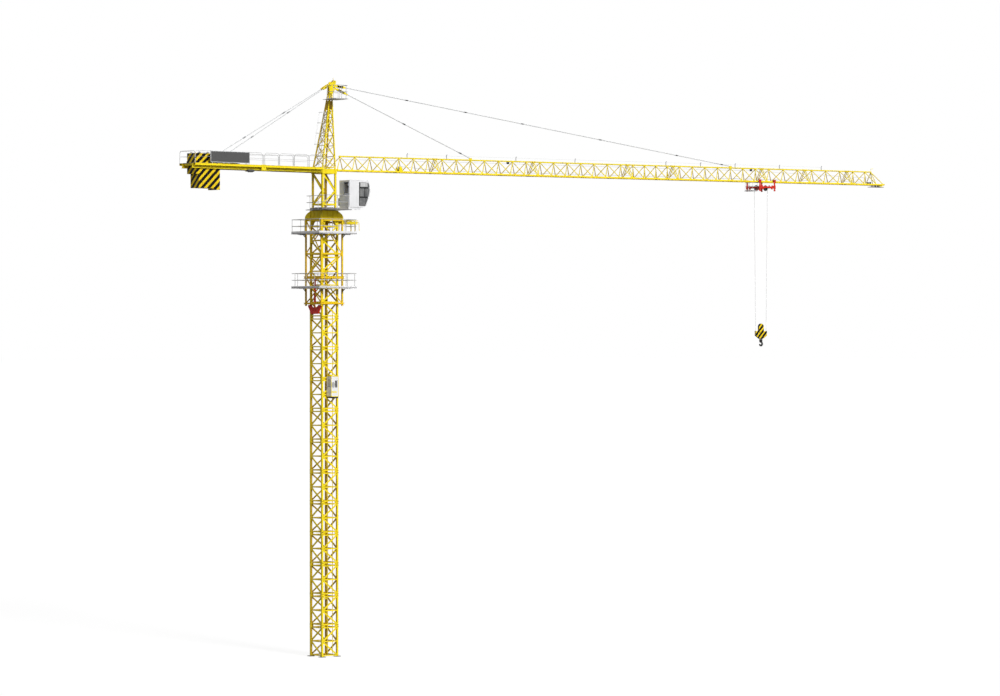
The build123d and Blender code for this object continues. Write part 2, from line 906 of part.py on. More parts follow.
def head_face(edge, rate, origin_x):
    slope = atan2(rate, 1)
    stretch = 1 / cos(slope)
    bars = []
    for n, height in enumerate(head_steps):
        v = height * stretch
        half_y = head_half_y(height)
        bars.append(bar((-half_y, v), (half_y, v), head_bar))
        if n + 1 < len(head_steps):
            upper = head_steps[n + 1]
            side = -1 if n % 2 else 1
            start_y = half_y - head_node
            finish_y = head_half_y(upper) - head_node
            bars.append(bar((side * start_y, v), (-side * finish_y, upper * stretch), head_bar))
    plate_low = head_steps[-1] * stretch
    plate_high = plate_low + head_plate_height
    plate_width = 2 * head_half_y(head_steps[-1] + head_plate_height)
    bars.append(bar((0, plate_low), (0, plate_high), plate_width))
    plane = Plane(
        origin=(origin_x, 0, heel_frame_top), x_dir=(0, 1, 0), z_dir=(cos(slope), 0, -sin(slope))
    )
    return plate(plane, Sketch() + bars, head_bracing_depth) - head_right - head_left


head_rear = head_face(head_rear_x, rear_rate, -slew_half)
head_front = head_face(head_front_x, front_rate, slew_half)
save("head_cross_bracing", head_rear, head_front)

# Head platform and its railing
head_platform_rear = head_top_rear - head_platform_rear_width
head_platform_front = head_top_front + head_platform_front_width
head_platform_right = -head_top_half - head_platform_right_width
head_platform_left = head_top_half + head_platform_left_width
head_deck = block(
    head_platform_rear,
    head_platform_front,
    head_platform_right,
    head_platform_left,
    head_platform_top - head_platform_thickness,
    head_platform_top,
)
save("head_platform", head_deck - head_right - head_left - head_rear - head_front)
head_right_line = head_platform_right + railing_inset
head_front_line = head_platform_front - railing_inset
head_rear_line = head_platform_rear + railing_inset
head_left_line = head_platform_left - railing_inset
right_panel = railing(
    head_platform_rear, head_platform_front, head_platform_top, head_railing_height, head_railing_bays
)
end_start = head_right_line + railing_bar / 2 + railing_corner_gap
end_panel = railing(end_start, -head_gate_half, head_platform_top, head_railing_height, head_railing_bays)
save(
    "head_railing",
    plate(face_xz(head_right_line), right_panel, railing_bar),
    plate(face_xz(head_left_line), right_panel, railing_bar),
    plate(face_yz(head_rear_line), end_panel, railing_bar),
    plate(face_yz(head_front_line), end_panel, railing_bar),
)

# Head ladder
ladder_slope = atan2(rear_rate, 1)
ladder_plane = Plane(
    origin=(-slew_half, 0, heel_frame_top), x_dir=(0, 1, 0), z_dir=(cos(ladder_slope), 0, -sin(ladder_slope))
)
ladder_place = ladder_plane.offset(-(head_bracing_depth + ladder_depth) / 2)
stringer_u = (ladder_width - ladder_stringer) / 2
ladder_head = head_height - ladder_top_gap
ladder_bars = []
for u in (-stringer_u, stringer_u):
    ladder_bars.append(bar((u, ladder_foot), (u, ladder_head), ladder_stringer))
rung_count = int((ladder_head - ladder_foot) / ladder_spacing)
for n in range(rung_count):
    v = ladder_foot + ladder_spacing * (n + 1) - ladder_spacing / 2
    ladder_bars.append(bar((-stringer_u, v), (stringer_u, v), ladder_rung))
save("head_ladder", plate(ladder_place, Sketch() + ladder_bars, ladder_depth))

# Head cap
def on_cap(reach, rise):
    return (head_top_front + reach, head_top + rise)


cap_shape = make_face(
    Polyline(
        on_cap(-cap_rear_reach, 0),
        on_cap(cap_foot_reach, 0),
        on_cap(cap_chest_reach, cap_chest_rise),
        on_cap(cap_peak_reach, cap_peak_rise),
        on_cap(cap_brow_reach, cap_brow_rise),
        on_cap(-cap_rear_reach, cap_nape_rise),
        close=True,
    )
)
cap = plate(face_xz(0), cap_shape, cap_width)
sheave_x, sheave_z = on_cap(cap_sheave_reach, cap_sheave_rise)
cap = cap + Pos(sheave_x, 0, sheave_z) * Rot(90, 0, 0) * Cylinder(cap_sheave_radius, cap_sheave_width)
rod_x, rod_end = on_cap(cap_rod_reach, cap_rod_rise)
cap = cap + round_bar((rod_x, 0, head_top), (rod_x, 0, rod_end), cap_rod_radius)
save("head_cap", cap)

# Jib chords
section_starts = [0]
for length, bays in jib_sections:
    section_starts.append(section_starts[-1] + length)
tip_start = section_starts[-1]
tip_node = tip_start + tip_bay * tip_bays
jib_end = tip_node + tip_slope_run
web_run = jib_half / web_length
web_rise = jib_height / web_length


def chamfer_line(distance, half):
    level = (distance - web_rise * half) / web_run
    height = (distance - web_run * half) / web_rise
    return level, height


chord_level, chord_height = chamfer_line(chord_chamfer, chord_half)
runway_end = jib_half + chord_half + runway_width
chord_outline = make_face(
    Polyline(
        (jib_half - chord_half, -chord_half),
        (runway_end, -chord_half),
        (runway_end, runway_thickness - chord_half),
        (jib_half + chord_half, runway_thickness - chord_half),
        (jib_half + chord_half, chord_half),
        (jib_half - chord_level, chord_half),
        (jib_half - chord_half, chord_height),
        close=True,
    )
)
left_chord = extrude(face_yz(0) * chord_outline, amount=jib_end)
right_chord = mirror(left_chord, about=Plane.XZ)
save("jib_lower_chords", jib_place * left_chord, jib_place * right_chord)
top_half = top_chord_size / 2
top_level, top_drop = chamfer_line(top_chord_chamfer, top_half)
top_outline = make_face(
    Polyline(
        (-top_half, jib_height + top_half),
        (top_half, jib_height + top_half),
        (top_half, jib_height - top_drop),
        (top_level, jib_height - top_half),
        (-top_level, jib_height - top_half),
        (-top_half, jib_height - top_drop),
        close=True,
    )
)
first_bay = jib_sections[0][0] / jib_sections[0][1]
top_start = first_bay / 2 - chord_size
top_end = tip_node + web_bar / 2
top_chord = extrude(face_yz(top_start) * top_outline, amount=top_end - top_start)


apexes = []
for start, (length, bays) in zip(section_starts, jib_sections):
    for n in range(bays):
        apexes.append(start + (n + 1 / 2) * length / bays)


def nearest_apex(reach):
    return min(apexes, key=lambda s: abs(s - reach))


inner_s = nearest_apex(inner_tie_reach)
outer_s = nearest_apex(outer_tie_reach)
tie_lugs = []
lug_low = jib_height + top_half
for s in (inner_s, outer_s):
    lug_shape = Pos(s, lug_low + tie_lug_height / 2) * Rectangle(tie_lug_length, tie_lug_height)
    tie_lugs.append(plate(face_xz(0), lug_shape, tie_lug_width))
top_chord = jib_place * (top_chord + tie_lugs)
save("jib_top_chord", top_chord)

# Jib sides
low_v = chord_chamfer
high_v = web_length - top_chord_chamfer
low_node = low_v + web_node
high_node = high_v - web_node
web_bars = []


def zigzag(start, bay, bays):
    for n in range(bays):
        left = start + n * bay
        web_bars.append(bar((left, low_node), (left + bay / 2, high_node), web_bar))
        web_bars.append(bar((left + bay / 2, high_node), (left + bay, low_node), web_bar))


for start, (length, bays) in zip(section_starts, jib_sections):
    zigzag(start, length / bays, bays)
zigzag(tip_start, tip_bay, tip_bays)
web_bars.append(bar((tip_node, low_node), (tip_node, high_node), web_bar))
web_bars.append(bar((tip_node, high_node), (jib_end - web_bar, low_node), web_bar))
for s in section_starts[1:]:
    for offset in (-splice_offset, splice_offset):
        web_bars.append(bar((s + offset, low_v), (s + offset, high_v), web_bar))
web_pattern = (Sketch() + web_bars) & window(0, jib_end, low_v, high_v)
left_web_plane = Plane(origin=(0, jib_half, 0), x_dir=(1, 0, 0), z_dir=(0, -web_rise, -web_run))
left_web = plate(left_web_plane, web_pattern, web_depth)
right_web = mirror(left_web, about=Plane.XZ)
save("jib_sides", jib_place * left_web, jib_place * right_web)

# Jib floor bracing
floor_clear = jib_half - chord_half
floor_line = floor_clear - floor_node
floor_bars = []
side = 1
for start, (length, bays) in zip(section_starts, jib_sections):
    bay = length / bays
    for n in range(bays):
        left = start + n * bay
        floor_bars.append(bar((left, side * floor_line), (left + bay, -side * floor_line), floor_bar))
        side = -side
for s in [floor_bar] + section_starts[1:] + [jib_end - floor_bar]:
    floor_bars.append(bar((s, -floor_clear), (s, floor_clear), floor_bar))
floor_bars.append(bar((tip_start, side * floor_line), (jib_end - floor_bar, -side * floor_line), floor_bar))
floor_pattern = (Sketch() + floor_bars) & window(0, jib_end, -floor_clear, floor_clear)
save("jib_floor_bracing", jib_place * plate(face_xy(0), floor_pattern, floor_depth))

# Jib nose
nose_half = jib_half + chord_half
nose_top = nose_beam_half_height
nose = block(jib_end, jib_end + nose_beam, -nose_half, nose_half, -nose_top, nose_top)
nose_tip = block(jib_end, jib_end + nose_length, -nose_width / 2, nose_width / 2, -nose_height, nose_top)
save("jib_nose", jib_place * (nose + nose_tip))


def on_jib(s, y, h):
    tilt = radians(jib_incline)
    return (heel_x + s * cos(tilt) - h * sin(tilt), y, heel_z + s * sin(tilt) + h * cos(tilt))


# Ties and their links
links = []
ties = []
for rise, s, link_length in (
    (outer_tie_rise, outer_s, outer_link_length),
    (inner_tie_rise, inner_s, inner_link_length),
):
    pin_x, pin_z = on_cap(tie_pin_reach, rise)
    start = (pin_x, 0, pin_z)
    finish = on_jib(s, 0, lug_low + tie_lug_aim)
    joint = point_between(start, finish, link_length)
    links.append(flat_bar(start, joint, link_width, link_thickness) - cap)
    ties.append(round_bar(joint, finish, tie_radius) - top_chord)

# Counter-jib
beam_middle = (counter_beam_top + counter_beam_bottom) / 2
recess_height = counter_beam_height - 2 * counter_beam_flange
recess_shift = (counter_beam_width + counter_beam_web) / 4
recess_width = (counter_beam_width - counter_beam_web) / 2
beam_shape = Rectangle(counter_beam_width, counter_beam_height)
for side in (-1, 1):
    beam_shape = beam_shape - Pos(side * recess_shift, 0) * Rectangle(recess_width, recess_height)
counter_beams = []
for side in (-1, 1):
    beam_face = face_yz(counter_tail) * Pos(side * jib_half, beam_middle) * beam_shape
    counter_beams.append(extrude(beam_face, amount=counter_length))
counter_bars = []
bar_front = slab_front + counter_bar_gap
bar_step = (counter_start - bar_front) / counter_bays
cross_positions = [counter_tail + counter_tail_gap]
for n in range(counter_bays):
    cross_positions.append(bar_front + n * bar_step)
for x in cross_positions:
    counter_bars.append(bar((x, -counter_half_width), (x, counter_half_width), counter_cross_bar))
for x in (slab_rear + counter_outrigger_gap, counter_lug_x):
    for side in (-1, 1):
        counter_bars.append(bar((x, side * jib_half), (x, side * counter_half_width), counter_cross_bar))
cross_bottom = counter_beam_top - counter_cross_height
cross_bars = extrude(face_xy(cross_bottom) * (Sketch() + counter_bars), amount=counter_cross_height)
counter_frame = counter_beams[0] + counter_beams[1] + cross_bars.solids()
counter_lugs = []
for side in (-1, 1):
    y = side * counter_lug_y
    counter_lugs.append(
        block(
            counter_lug_x - counter_lug_length / 2,
            counter_lug_x + counter_lug_length / 2,
            y - counter_lug_width / 2,
            y + counter_lug_width / 2,
            counter_beam_top,
            counter_beam_top + counter_lug_height,
        )
    )
counter_frame = counter_frame + counter_lugs
save("counter_jib_frame", counter_frame)
opening_half = jib_half + counter_beam_width / 2 + slab_opening_margin
deck_shape = window(counter_tail, counter_start, -counter_half_width, counter_half_width)
deck_shape = deck_shape - window(
    slab_rear - slab_opening_margin, slab_front + slab_opening_margin, -opening_half, opening_half
)
counter_deck = extrude(face_xy(counter_beam_top) * deck_shape, amount=counter_deck_thickness)
save("counter_jib_deck", counter_deck)
counter_ties = []
for side in (-1, 1):
    pin_x, pin_z = on_cap(counter_pin_reach, counter_pin_rise)
    start = (pin_x, side * counter_pin_y, pin_z)
    finish = (counter_lug_x, side * counter_lug_y, counter_beam_top + counter_lug_aim)
    joint = point_between(start, finish, counter_link_length)
    links.append(flat_bar(start, joint, link_width, link_thickness) - cap)
    counter_ties.append(round_bar(joint, finish, counter_tie_radius) - counter_frame)
save("ties", *ties, *counter_ties)
save("tie_links", *links)

# Counter-jib railing
counter_rail_line = counter_half_width - railing_inset
tail_line = counter_tail + railing_inset
counter_panels = []
side_tail = tail_line + railing_bar / 2 + railing_corner_gap
rear_run = (side_tail, counter_joint - railing_corner_gap)
front_run = (counter_joint + railing_corner_gap, counter_start)
for u0, u1 in (rear_run, front_run):
    panel = railing(u0, u1, counter_deck_top, counter_railing_height, counter_railing_bays)
    counter_panels.append(plate(face_xz(-counter_rail_line), panel, railing_bar))
    counter_panels.append(plate(face_xz(counter_rail_line), panel, railing_bar))
tail_panel = railing(
    -counter_half_width, counter_half_width, counter_deck_top, counter_railing_height, counter_tail_bays
)
counter_panels.append(plate(face_yz(tail_line), tail_panel, railing_bar))
save("counter_jib_railing", *counter_panels)
board_face = -counter_rail_line - railing_bar / 2
board_rear = counter_tail + board_tail_gap
board_bottom = counter_deck_top + board_rise
board_shape = window(board_rear, board_rear + board_length, board_bottom, board_bottom + board_height)
save("blank_board", plate(face_xz(board_face - board_thickness / 2), board_shape, board_thickness))

# Counterweights
slabs = []


def slab(x0, x1, height):
    ear = slab_half + slab_ear_reach
    body = block(x0, x1, -slab_half, slab_half, slab_top - height, slab_top)
    return body + block(x0, x1, -ear, ear, counter_beam_top, counter_beam_top + slab_ear_height)


slabs.append(slab(slab_rear, slab_rear + slab_rear_thickness, slab_rear_height))
slab_start = slab_rear + slab_rear_thickness
slab_pitch = (slab_front - slab_start) / slab_count
for n in range(slab_count):
    x0 = slab_start + n * slab_pitch + slab_gap
    height = slab_front_height if n + 1 == slab_count else slab_height
    slabs.append(slab(x0, x0 + slab_pitch - slab_gap, height))
save("counterweights", *slabs)

# Hoist winch
winch_half = winch_base_width / 2
winch_base_top = counter_deck_top + winch_base_height
winch_x = slab_front + winch_gap
winch_rear = winch_x - winch_base_length / 2
winch_front = winch_x + winch_base_length / 2
base = block(winch_rear, winch_front, -winch_half, winch_half, counter_deck_top, winch_base_top)
drum_x = winch_x + winch_drum_offset
axle_z = winch_base_top + winch_axle_height
stands = []
for side in (-1, 1):
    inner = side * (winch_drum_length / 2 + winch_flange_width)
    outer = inner + side * winch_stand_width
    half_length = winch_stand_length / 2
    stand_top = axle_z + winch_stand_width
    stands.append(block(drum_x - half_length, drum_x + half_length, inner, outer, winch_base_top, stand_top))
motor_x = winch_x + winch_motor_offset
motor_z = winch_base_top + winch_motor_radius - winch_motor_sink
motor = Pos(motor_x, 0, motor_z) * Rot(90, 0, 0) * Cylinder(winch_motor_radius, winch_motor_length)
save("winch_frame", base + stands + motor)
drum = Rot(90, 0, 0) * Cylinder(winch_drum_radius, winch_drum_length)
for side in (-1, 1):
    flange_y = side * (winch_drum_length + winch_flange_width) / 2
    drum = drum + Pos(0, flange_y, 0) * Rot(90, 0, 0) * Cylinder(winch_flange_radius, winch_flange_width)
save("winch_drum", Pos(drum_x, 0, axle_z) * drum)

# Trolley winch
winch_floor = floor_depth / 2
jib_winch_top = winch_floor + jib_winch_base_height
half_length = jib_winch_length / 2
half_width = jib_winch_width / 2
jib_winch_rear = jib_winch_s - half_length
jib_winch_front = jib_winch_s + half_length
jib_winch = block(jib_winch_rear, jib_winch_front, -half_width, half_width, winch_floor, jib_winch_top)
jib_axle = jib_winch_top + jib_winch_axle_height
jib_drum_place = Pos(jib_winch_s, 0, jib_axle) * Rot(90, 0, 0)
jib_drum = jib_drum_place * Cylinder(jib_winch_drum_radius, jib_winch_drum_length)
jib_stands = []
for side in (-1, 1):
    inner = side * jib_winch_drum_length / 2
    outer = inner + side * jib_winch_stand
    stand_rear = jib_winch_s - jib_winch_drum_radius
    stand_front = jib_winch_s + jib_winch_drum_radius
    jib_stands.append(
        block(stand_rear, stand_front, inner, outer, jib_winch_top, jib_axle + jib_winch_stand)
    )
save("trolley_winch", jib_place * (jib_winch + jib_drum + jib_stands))

# Operator's cab
cab_frame_y = [cab_right + cab_beam_inset, cab_left - cab_beam_inset]
cab_cross_x = cab_rear
cab_frame_front = cab_rear + cab_frame_length
cab_bars = [bar((cab_cross_x, cab_right), (cab_cross_x, -turntable_half), cab_frame_beam)]
for y in cab_frame_y:
    cab_bars.append(bar((cab_cross_x, y), (cab_frame_front, y), cab_frame_beam))
cab_frame = extrude(face_xy(deck_top) * (Sketch() + cab_bars), amount=cab_bottom - deck_top)
save("cab_frame", cab_frame)
cab_nose_foot = cab_front - cab_nose_inset
cab_brow = cab_front - cab_brow_inset
cab_floor_top = cab_bottom + cab_floor_thickness
cab_roof_bottom = cab_top - cab_roof_thickness
nose_z = cab_bottom + cab_nose_level
foot_point = (cab_nose_foot, cab_bottom)
nose_point = (cab_front, nose_z)
brow_point = (cab_brow, cab_top)
low_bulge = ((cab_nose_foot + cab_front) / 2 + cab_nose_bulge, (cab_bottom + nose_z) / 2)
high_bulge = ((cab_front + cab_brow) / 2 + cab_brow_bulge, (nose_z + cab_top) / 2)
cab_profile = make_face(
    [
        Line((cab_rear, cab_bottom), foot_point),
        ThreePointArc(foot_point, low_bulge, nose_point),
        ThreePointArc(nose_point, high_bulge, brow_point),
        Line(brow_point, (cab_rear, cab_top)),
        Line((cab_rear, cab_top), (cab_rear, cab_bottom)),
    ]
)
cab_middle_y = (cab_left + cab_right) / 2
cab_limit = cab_front + cab_nose_bulge + cab_brow_bulge
cab_slice = plate(face_xz(cab_middle_y), cab_profile, cab_width)
cab_floor = cab_slice & block(cab_rear, cab_limit, cab_right, cab_left, cab_bottom, cab_floor_top)
cab_roof = cab_slice & block(cab_rear, cab_limit, cab_right, cab_left, cab_roof_bottom, cab_top)
save("cab_floor_and_roof", cab_floor, cab_roof)
cab_band = cab_slice & block(cab_rear, cab_limit, cab_right, cab_left, cab_floor_top, cab_roof_bottom)
waist_z = cab_bottom + cab_waist_level
half_mullion = cab_mullion / 2
pane_levels = [
    (cab_bottom + cab_window_foot, waist_z - half_mullion),
    (waist_z + half_mullion, nose_z - half_mullion),
    (nose_z + half_mullion, cab_top - cab_window_head),
]
cab_window_rear = cab_rear + cab_window_rear_gap
glazed = Pos(-cab_mullion, 0, 0) * cab_slice
openings = []
for low, high in pane_levels:
    openings.append(glazed & block(cab_window_rear, cab_limit, cab_right, cab_left, low, high))
side_walls = []
side_panes = []
half_glass = cab_glass_thickness / 2
for y0, y1 in ((cab_right, cab_right + cab_wall), (cab_left - cab_wall, cab_left)):
    wall = cab_band & block(cab_rear, cab_limit, y0, y1, cab_floor_top, cab_roof_bottom)
    pane_y = (y0 + y1) / 2
    pane_slice = block(
        cab_rear, cab_limit, pane_y - half_glass, pane_y + half_glass, cab_bottom, cab_top
    )
    for opening in openings:
        wall = wall - opening
        side_panes.append(opening & pane_slice)
    side_walls.append(wall)
save("cab_side_walls", *side_walls)
inner_right = cab_right + cab_wall
inner_left = cab_left - cab_wall
wall_front = cab_rear + cab_wall
cab_doorway_right = cab_right + cab_doorway_gap
cab_doorway_left = cab_doorway_right + cab_doorway_width
save(
    "cab_rear_wall",
    block(cab_rear, wall_front, inner_right, cab_doorway_right, cab_floor_top, cab_roof_bottom),
    block(cab_rear, wall_front, cab_doorway_left, inner_left, cab_floor_top, cab_roof_bottom),
)
front_inner = cab_band & block(cab_rear, cab_limit, inner_right, inner_left, cab_floor_top, cab_roof_bottom)
front_skin = front_inner - Pos(-cab_mullion, 0, 0) * front_inner
waist = block(
    cab_rear, cab_limit, inner_right, inner_left, waist_z - half_mullion, waist_z + half_mullion
)
front_bar = front_skin & waist
save("cab_front_bar", front_bar)
glass_shift = (cab_mullion - cab_glass_thickness) / 2
front_glass = Pos(-glass_shift, 0, 0) * (front_inner - Pos(-cab_glass_thickness, 0, 0) * front_inner)
front_glass = front_glass - waist
glass_start = wall_front + cab_wall
front_glass = front_glass & block(
    glass_start, cab_limit, inner_right, inner_left, cab_floor_top, cab_roof_bottom
)
save("cab_glass", *side_panes, front_glass)

# Cab door
hinge_x = cab_rear - cab_hinge_offset
leaf_right = cab_doorway_right + cab_door_gap
leaf_left = cab_doorway_left - cab_door_gap
leaf_low = cab_floor_top + cab_door_gap
leaf_high = cab_roof_bottom - cab_door_gap
leaf = block(cab_rear, wall_front, leaf_right, leaf_left, leaf_low, leaf_high)
door_sill = cab_bottom + cab_door_sill
door_window = (leaf_right + cab_door_rail, leaf_left - cab_door_rail, door_sill, leaf_high - cab_door_rail)
leaf = leaf - block(cab_rear, wall_front, *door_window)
knuckles = []
hinge_rear = hinge_x - cab_hinge_radius
for level in (cab_bottom + cab_hinge_margin, cab_top - cab_hinge_margin):
    arm_low = level - cab_hinge_length / 2
    arm_high = level + cab_hinge_length / 2
    knuckle = Pos(hinge_x, cab_doorway_right, level) * Cylinder(cab_hinge_radius, cab_hinge_length)
    arm = block(hinge_rear, cab_rear, leaf_right, leaf_right + cab_door_rail, arm_low, arm_high)
    strap = block(hinge_rear, hinge_x, cab_doorway_right, leaf_right + cab_door_gap, arm_low, arm_high)
    knuckles.extend([knuckle, arm, strap])
save("cab_door", leaf + knuckles)
door_glass_x = (cab_rear + wall_front) / 2
save("cab_door_glass", block(door_glass_x - half_glass, door_glass_x + half_glass, *door_window))

# Trolley
trolley_place = jib_place * Pos(trolley_s, 0, 0)
half_trolley = trolley_length / 2
trolley_bottom = -trolley_depth
trolley_plate_inner = runway_end + trolley_clearance
wheel_inner = jib_half + chord_half + trolley_clearance
wheel_s = half_trolley - wheel_inset
sheave_h = -sheave_drop
rope_s = half_trolley - cross_beam - rope_side_gap - rope_radius
sheave_s = rope_s - rope_radius - rope_gap - sheave_radius
post_u = half_trolley - trolley_bar / 2
bottom_v = trolley_bottom + trolley_bar / 2
top_v = trolley_top - trolley_bar / 2
frame_bars = [
    bar((-half_trolley, bottom_v), (half_trolley, bottom_v), trolley_bar),
    bar((-half_trolley, sheave_h), (half_trolley, sheave_h), trolley_bar),
    bar((-post_u, sheave_h), (0, trolley_top - trolley_bar), trolley_bar),
    bar((0, trolley_top - trolley_bar), (post_u, sheave_h), trolley_bar),
    bar((-half_trolley, top_v), (half_trolley, top_v), trolley_bar),
]
for side in (-1, 1):
    frame_bars.append(bar((side * post_u, trolley_bottom), (side * post_u, trolley_top), trolley_bar))
side_frame = (Sketch() + frame_bars) & window(-half_trolley, half_trolley, trolley_bottom, trolley_top)
frame_line = trolley_plate_inner + trolley_plate / 2
save(
    "trolley_side_frames",
    trolley_place * plate(face_xz(-frame_line), side_frame, trolley_plate),
    trolley_place * plate(face_xz(frame_line), side_frame, trolley_plate),
)
cross_beams = []
for side in (-1, 1):
    outer = side * half_trolley
    inner = outer - side * cross_beam
    beam_shape = window(min(outer, inner), max(outer, inner), trolley_bottom, trolley_bottom + cross_beam)
    cross_beams.append(trolley_place * plate(face_xz(0), beam_shape, 2 * trolley_plate_inner))
save("trolley_cross_beams", *cross_beams)
runway_top = runway_thickness - chord_half
wheel_h = runway_top + wheel_radius + wheel_gap
wheels = []
for s_side in (-1, 1):
    for y_side in (-1, 1):
        wheel_y = y_side * (wheel_inner + wheel_width / 2)
        wheel = Pos(s_side * wheel_s, wheel_y, wheel_h) * Rot(90, 0, 0) * Cylinder(wheel_radius, wheel_width)
        axle_length = trolley_plate_inner - wheel_inner
        axle_y = y_side * (wheel_inner + axle_length / 2)
        axle_place = Pos(s_side * wheel_s, axle_y, wheel_h) * Rot(90, 0, 0)
        axle = axle_place * Cylinder(wheel_axle_radius, axle_length)
        wheels.append(trolley_place * (wheel + axle))
save("trolley_wheels", *wheels)
sheaves = []
for side in (-1, 1):
    place = Pos(side * sheave_s, 0, sheave_h) * Rot(90, 0, 0)
    sheave = Cylinder(sheave_radius, sheave_width) + Cylinder(sheave_axle_radius, 2 * trolley_plate_inner)
    sheaves.append(trolley_place * place * sheave)
save("trolley_sheaves", *sheaves)
basket_end = -half_trolley - basket_length
basket_top = trolley_bottom + basket_thickness
basket_floor = block(
    basket_end, -half_trolley, -basket_half_width, basket_half_width, trolley_bottom, basket_top
)
save("trolley_basket", trolley_place * basket_floor)
basket_railing_height = -basket_top - chord_half - basket_clearance
basket_line = basket_half_width - railing_inset
basket_start = basket_end + railing_bar + railing_corner_gap
basket_side = railing(basket_start, -half_trolley, basket_top, basket_railing_height, basket_bays)
basket_back = railing(
    -basket_half_width, basket_half_width, basket_top, basket_railing_height, basket_bays
)
save(
    "basket_railing",
    trolley_place * plate(face_xz(-basket_line), basket_side, railing_bar),
    trolley_place * plate(face_xz(basket_line), basket_side, railing_bar),
    trolley_place * plate(face_yz(basket_end + railing_bar / 2), basket_back, railing_bar),
)

# Hoist ropes
trolley_x = on_jib(trolley_s, 0, 0)[0]
block_sheave_z = on_jib(trolley_s, 0, sheave_h)[2] - rope_drop
block_shoulder = block_sheave_z + block_shoulder_rise
block_bottom = block_sheave_z - block_foot_drop
block_oval_z = block_sheave_z + block_oval_rise
shank_bottom = block_bottom - shank_length
block_sheave_x = rope_spread - block_sheave_radius - rope_radius - rope_gap
ropes = []
for side in (-1, 1):
    rope_top = on_jib(trolley_s + side * rope_s, 0, sheave_h)
    rope_foot = (trolley_x + side * rope_spread, 0, block_sheave_z)
    ropes.append(round_bar(rope_foot, rope_top, rope_radius))
save("hoist_ropes", *ropes)

# Hook block
hook_place = Pos(trolley_x, 0, 0)
cheek_shape = make_face(
    Polyline(
        (-block_low_half_width, block_bottom),
        (block_low_half_width, block_bottom),
        (block_half_width, block_bottom + block_pin_radius + block_sheave_radius),
        (block_half_width, block_shoulder),
        (-block_half_width, block_shoulder),
        (-block_half_width, block_bottom + block_pin_radius + block_sheave_radius),
        close=True,
    )
)
cheek_shape = cheek_shape + Pos(0, block_oval_z) * Circle(block_oval_radius)
cheek_shape = cheek_shape + window(-block_oval_radius, block_oval_radius, block_shoulder, block_oval_z)
cheek_y = (block_plate_gap + block_plate) / 2
cheeks = [plate(face_xz(y), cheek_shape, block_plate) for y in (-cheek_y, cheek_y)]
half_piece = crosspiece_length / 2
half_gap = block_plate_gap / 2
piece_top = block_bottom + crosspiece_height
crosspiece = block(-half_piece, half_piece, -half_gap, half_gap, block_bottom, piece_top)
save("hook_block", hook_place * (crosspiece + cheeks))
block_sheaves = []
for side in (-1, 1):
    place = Pos(side * block_sheave_x, 0, block_sheave_z) * Rot(90, 0, 0)
    sheave = Cylinder(block_sheave_radius, block_sheave_width) + Cylinder(block_pin_radius, block_plate_gap)
    block_sheaves.append(hook_place * place * sheave)
save("hook_block_sheaves", *block_sheaves)

# Hook
hook_centre_z = shank_bottom - hook_radius
shank = Pos(0, 0, (block_bottom + shank_bottom) / 2) * Cylinder(shank_radius, block_bottom - shank_bottom)
hook_path = CenterArc((0, hook_centre_z), hook_radius, 90, -hook_sweep_angle)
hook_line = face_xz(0) * hook_path
hook_start = Plane(origin=(0, 0, shank_bottom), x_dir=(0, 1, 0), z_dir=(1, 0, 0))
bend = sweep(hook_start * RegularPolygon(hook_bar_radius, hook_bar_sides), path=hook_line)
save("hook", hook_place * (shank + bend))
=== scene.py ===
import bpy
import bmesh
import math
from mathutils import Matrix, Vector


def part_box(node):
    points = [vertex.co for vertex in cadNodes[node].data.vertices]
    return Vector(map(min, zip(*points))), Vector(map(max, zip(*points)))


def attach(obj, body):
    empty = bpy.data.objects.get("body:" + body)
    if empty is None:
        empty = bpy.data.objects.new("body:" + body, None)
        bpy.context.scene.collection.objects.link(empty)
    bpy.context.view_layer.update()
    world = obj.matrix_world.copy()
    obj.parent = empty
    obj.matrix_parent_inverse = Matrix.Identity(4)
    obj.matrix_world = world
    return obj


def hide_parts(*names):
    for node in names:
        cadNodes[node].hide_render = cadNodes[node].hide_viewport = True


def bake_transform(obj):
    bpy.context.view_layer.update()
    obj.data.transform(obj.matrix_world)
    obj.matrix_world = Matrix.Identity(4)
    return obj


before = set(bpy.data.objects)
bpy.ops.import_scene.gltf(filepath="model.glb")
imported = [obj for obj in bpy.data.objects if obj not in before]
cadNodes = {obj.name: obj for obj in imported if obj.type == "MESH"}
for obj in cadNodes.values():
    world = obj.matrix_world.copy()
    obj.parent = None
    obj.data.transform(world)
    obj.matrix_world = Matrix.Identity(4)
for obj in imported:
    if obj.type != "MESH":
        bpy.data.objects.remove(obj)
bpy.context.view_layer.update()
scene = bpy.context.scene
scene.view_settings.view_transform = "Standard"
print("frame loaded:", len(cadNodes), "nodes")


def wire(tree, node, plugs):
    for key, value in plugs.items():
        socket = node.inputs[key]
        if isinstance(value, bpy.types.NodeSocket):
            tree.links.new(value, socket)
        else:
            socket.default_value = value
    return node


def put(tree, kind, plugs=None, **values):
    node = tree.nodes.new(kind)
    for key, value in values.items():
        setattr(node, key, value)
    return wire(tree, node, plugs or {})


def sums(tree, operation, first, second=0.0, third=0.0):
    node = put(tree, "ShaderNodeMath", {0: first, 1: second, 2: third}, operation=operation)
    return node.outputs[0]


def times(tree, first, second):
    return sums(tree, "MULTIPLY", first, second)


def plus(tree, first, second):
    return sums(tree, "ADD", first, second)


def minus(tree, first, second):
    return sums(tree, "SUBTRACT", first, second)


def blendColour(tree, factor, first, second, how="MIX"):
    node = put(tree, "ShaderNodeMix", data_type="RGBA", blend_type=how)
    wire(tree, node, {0: factor, 6: first, 7: second})
    return node.outputs[2]


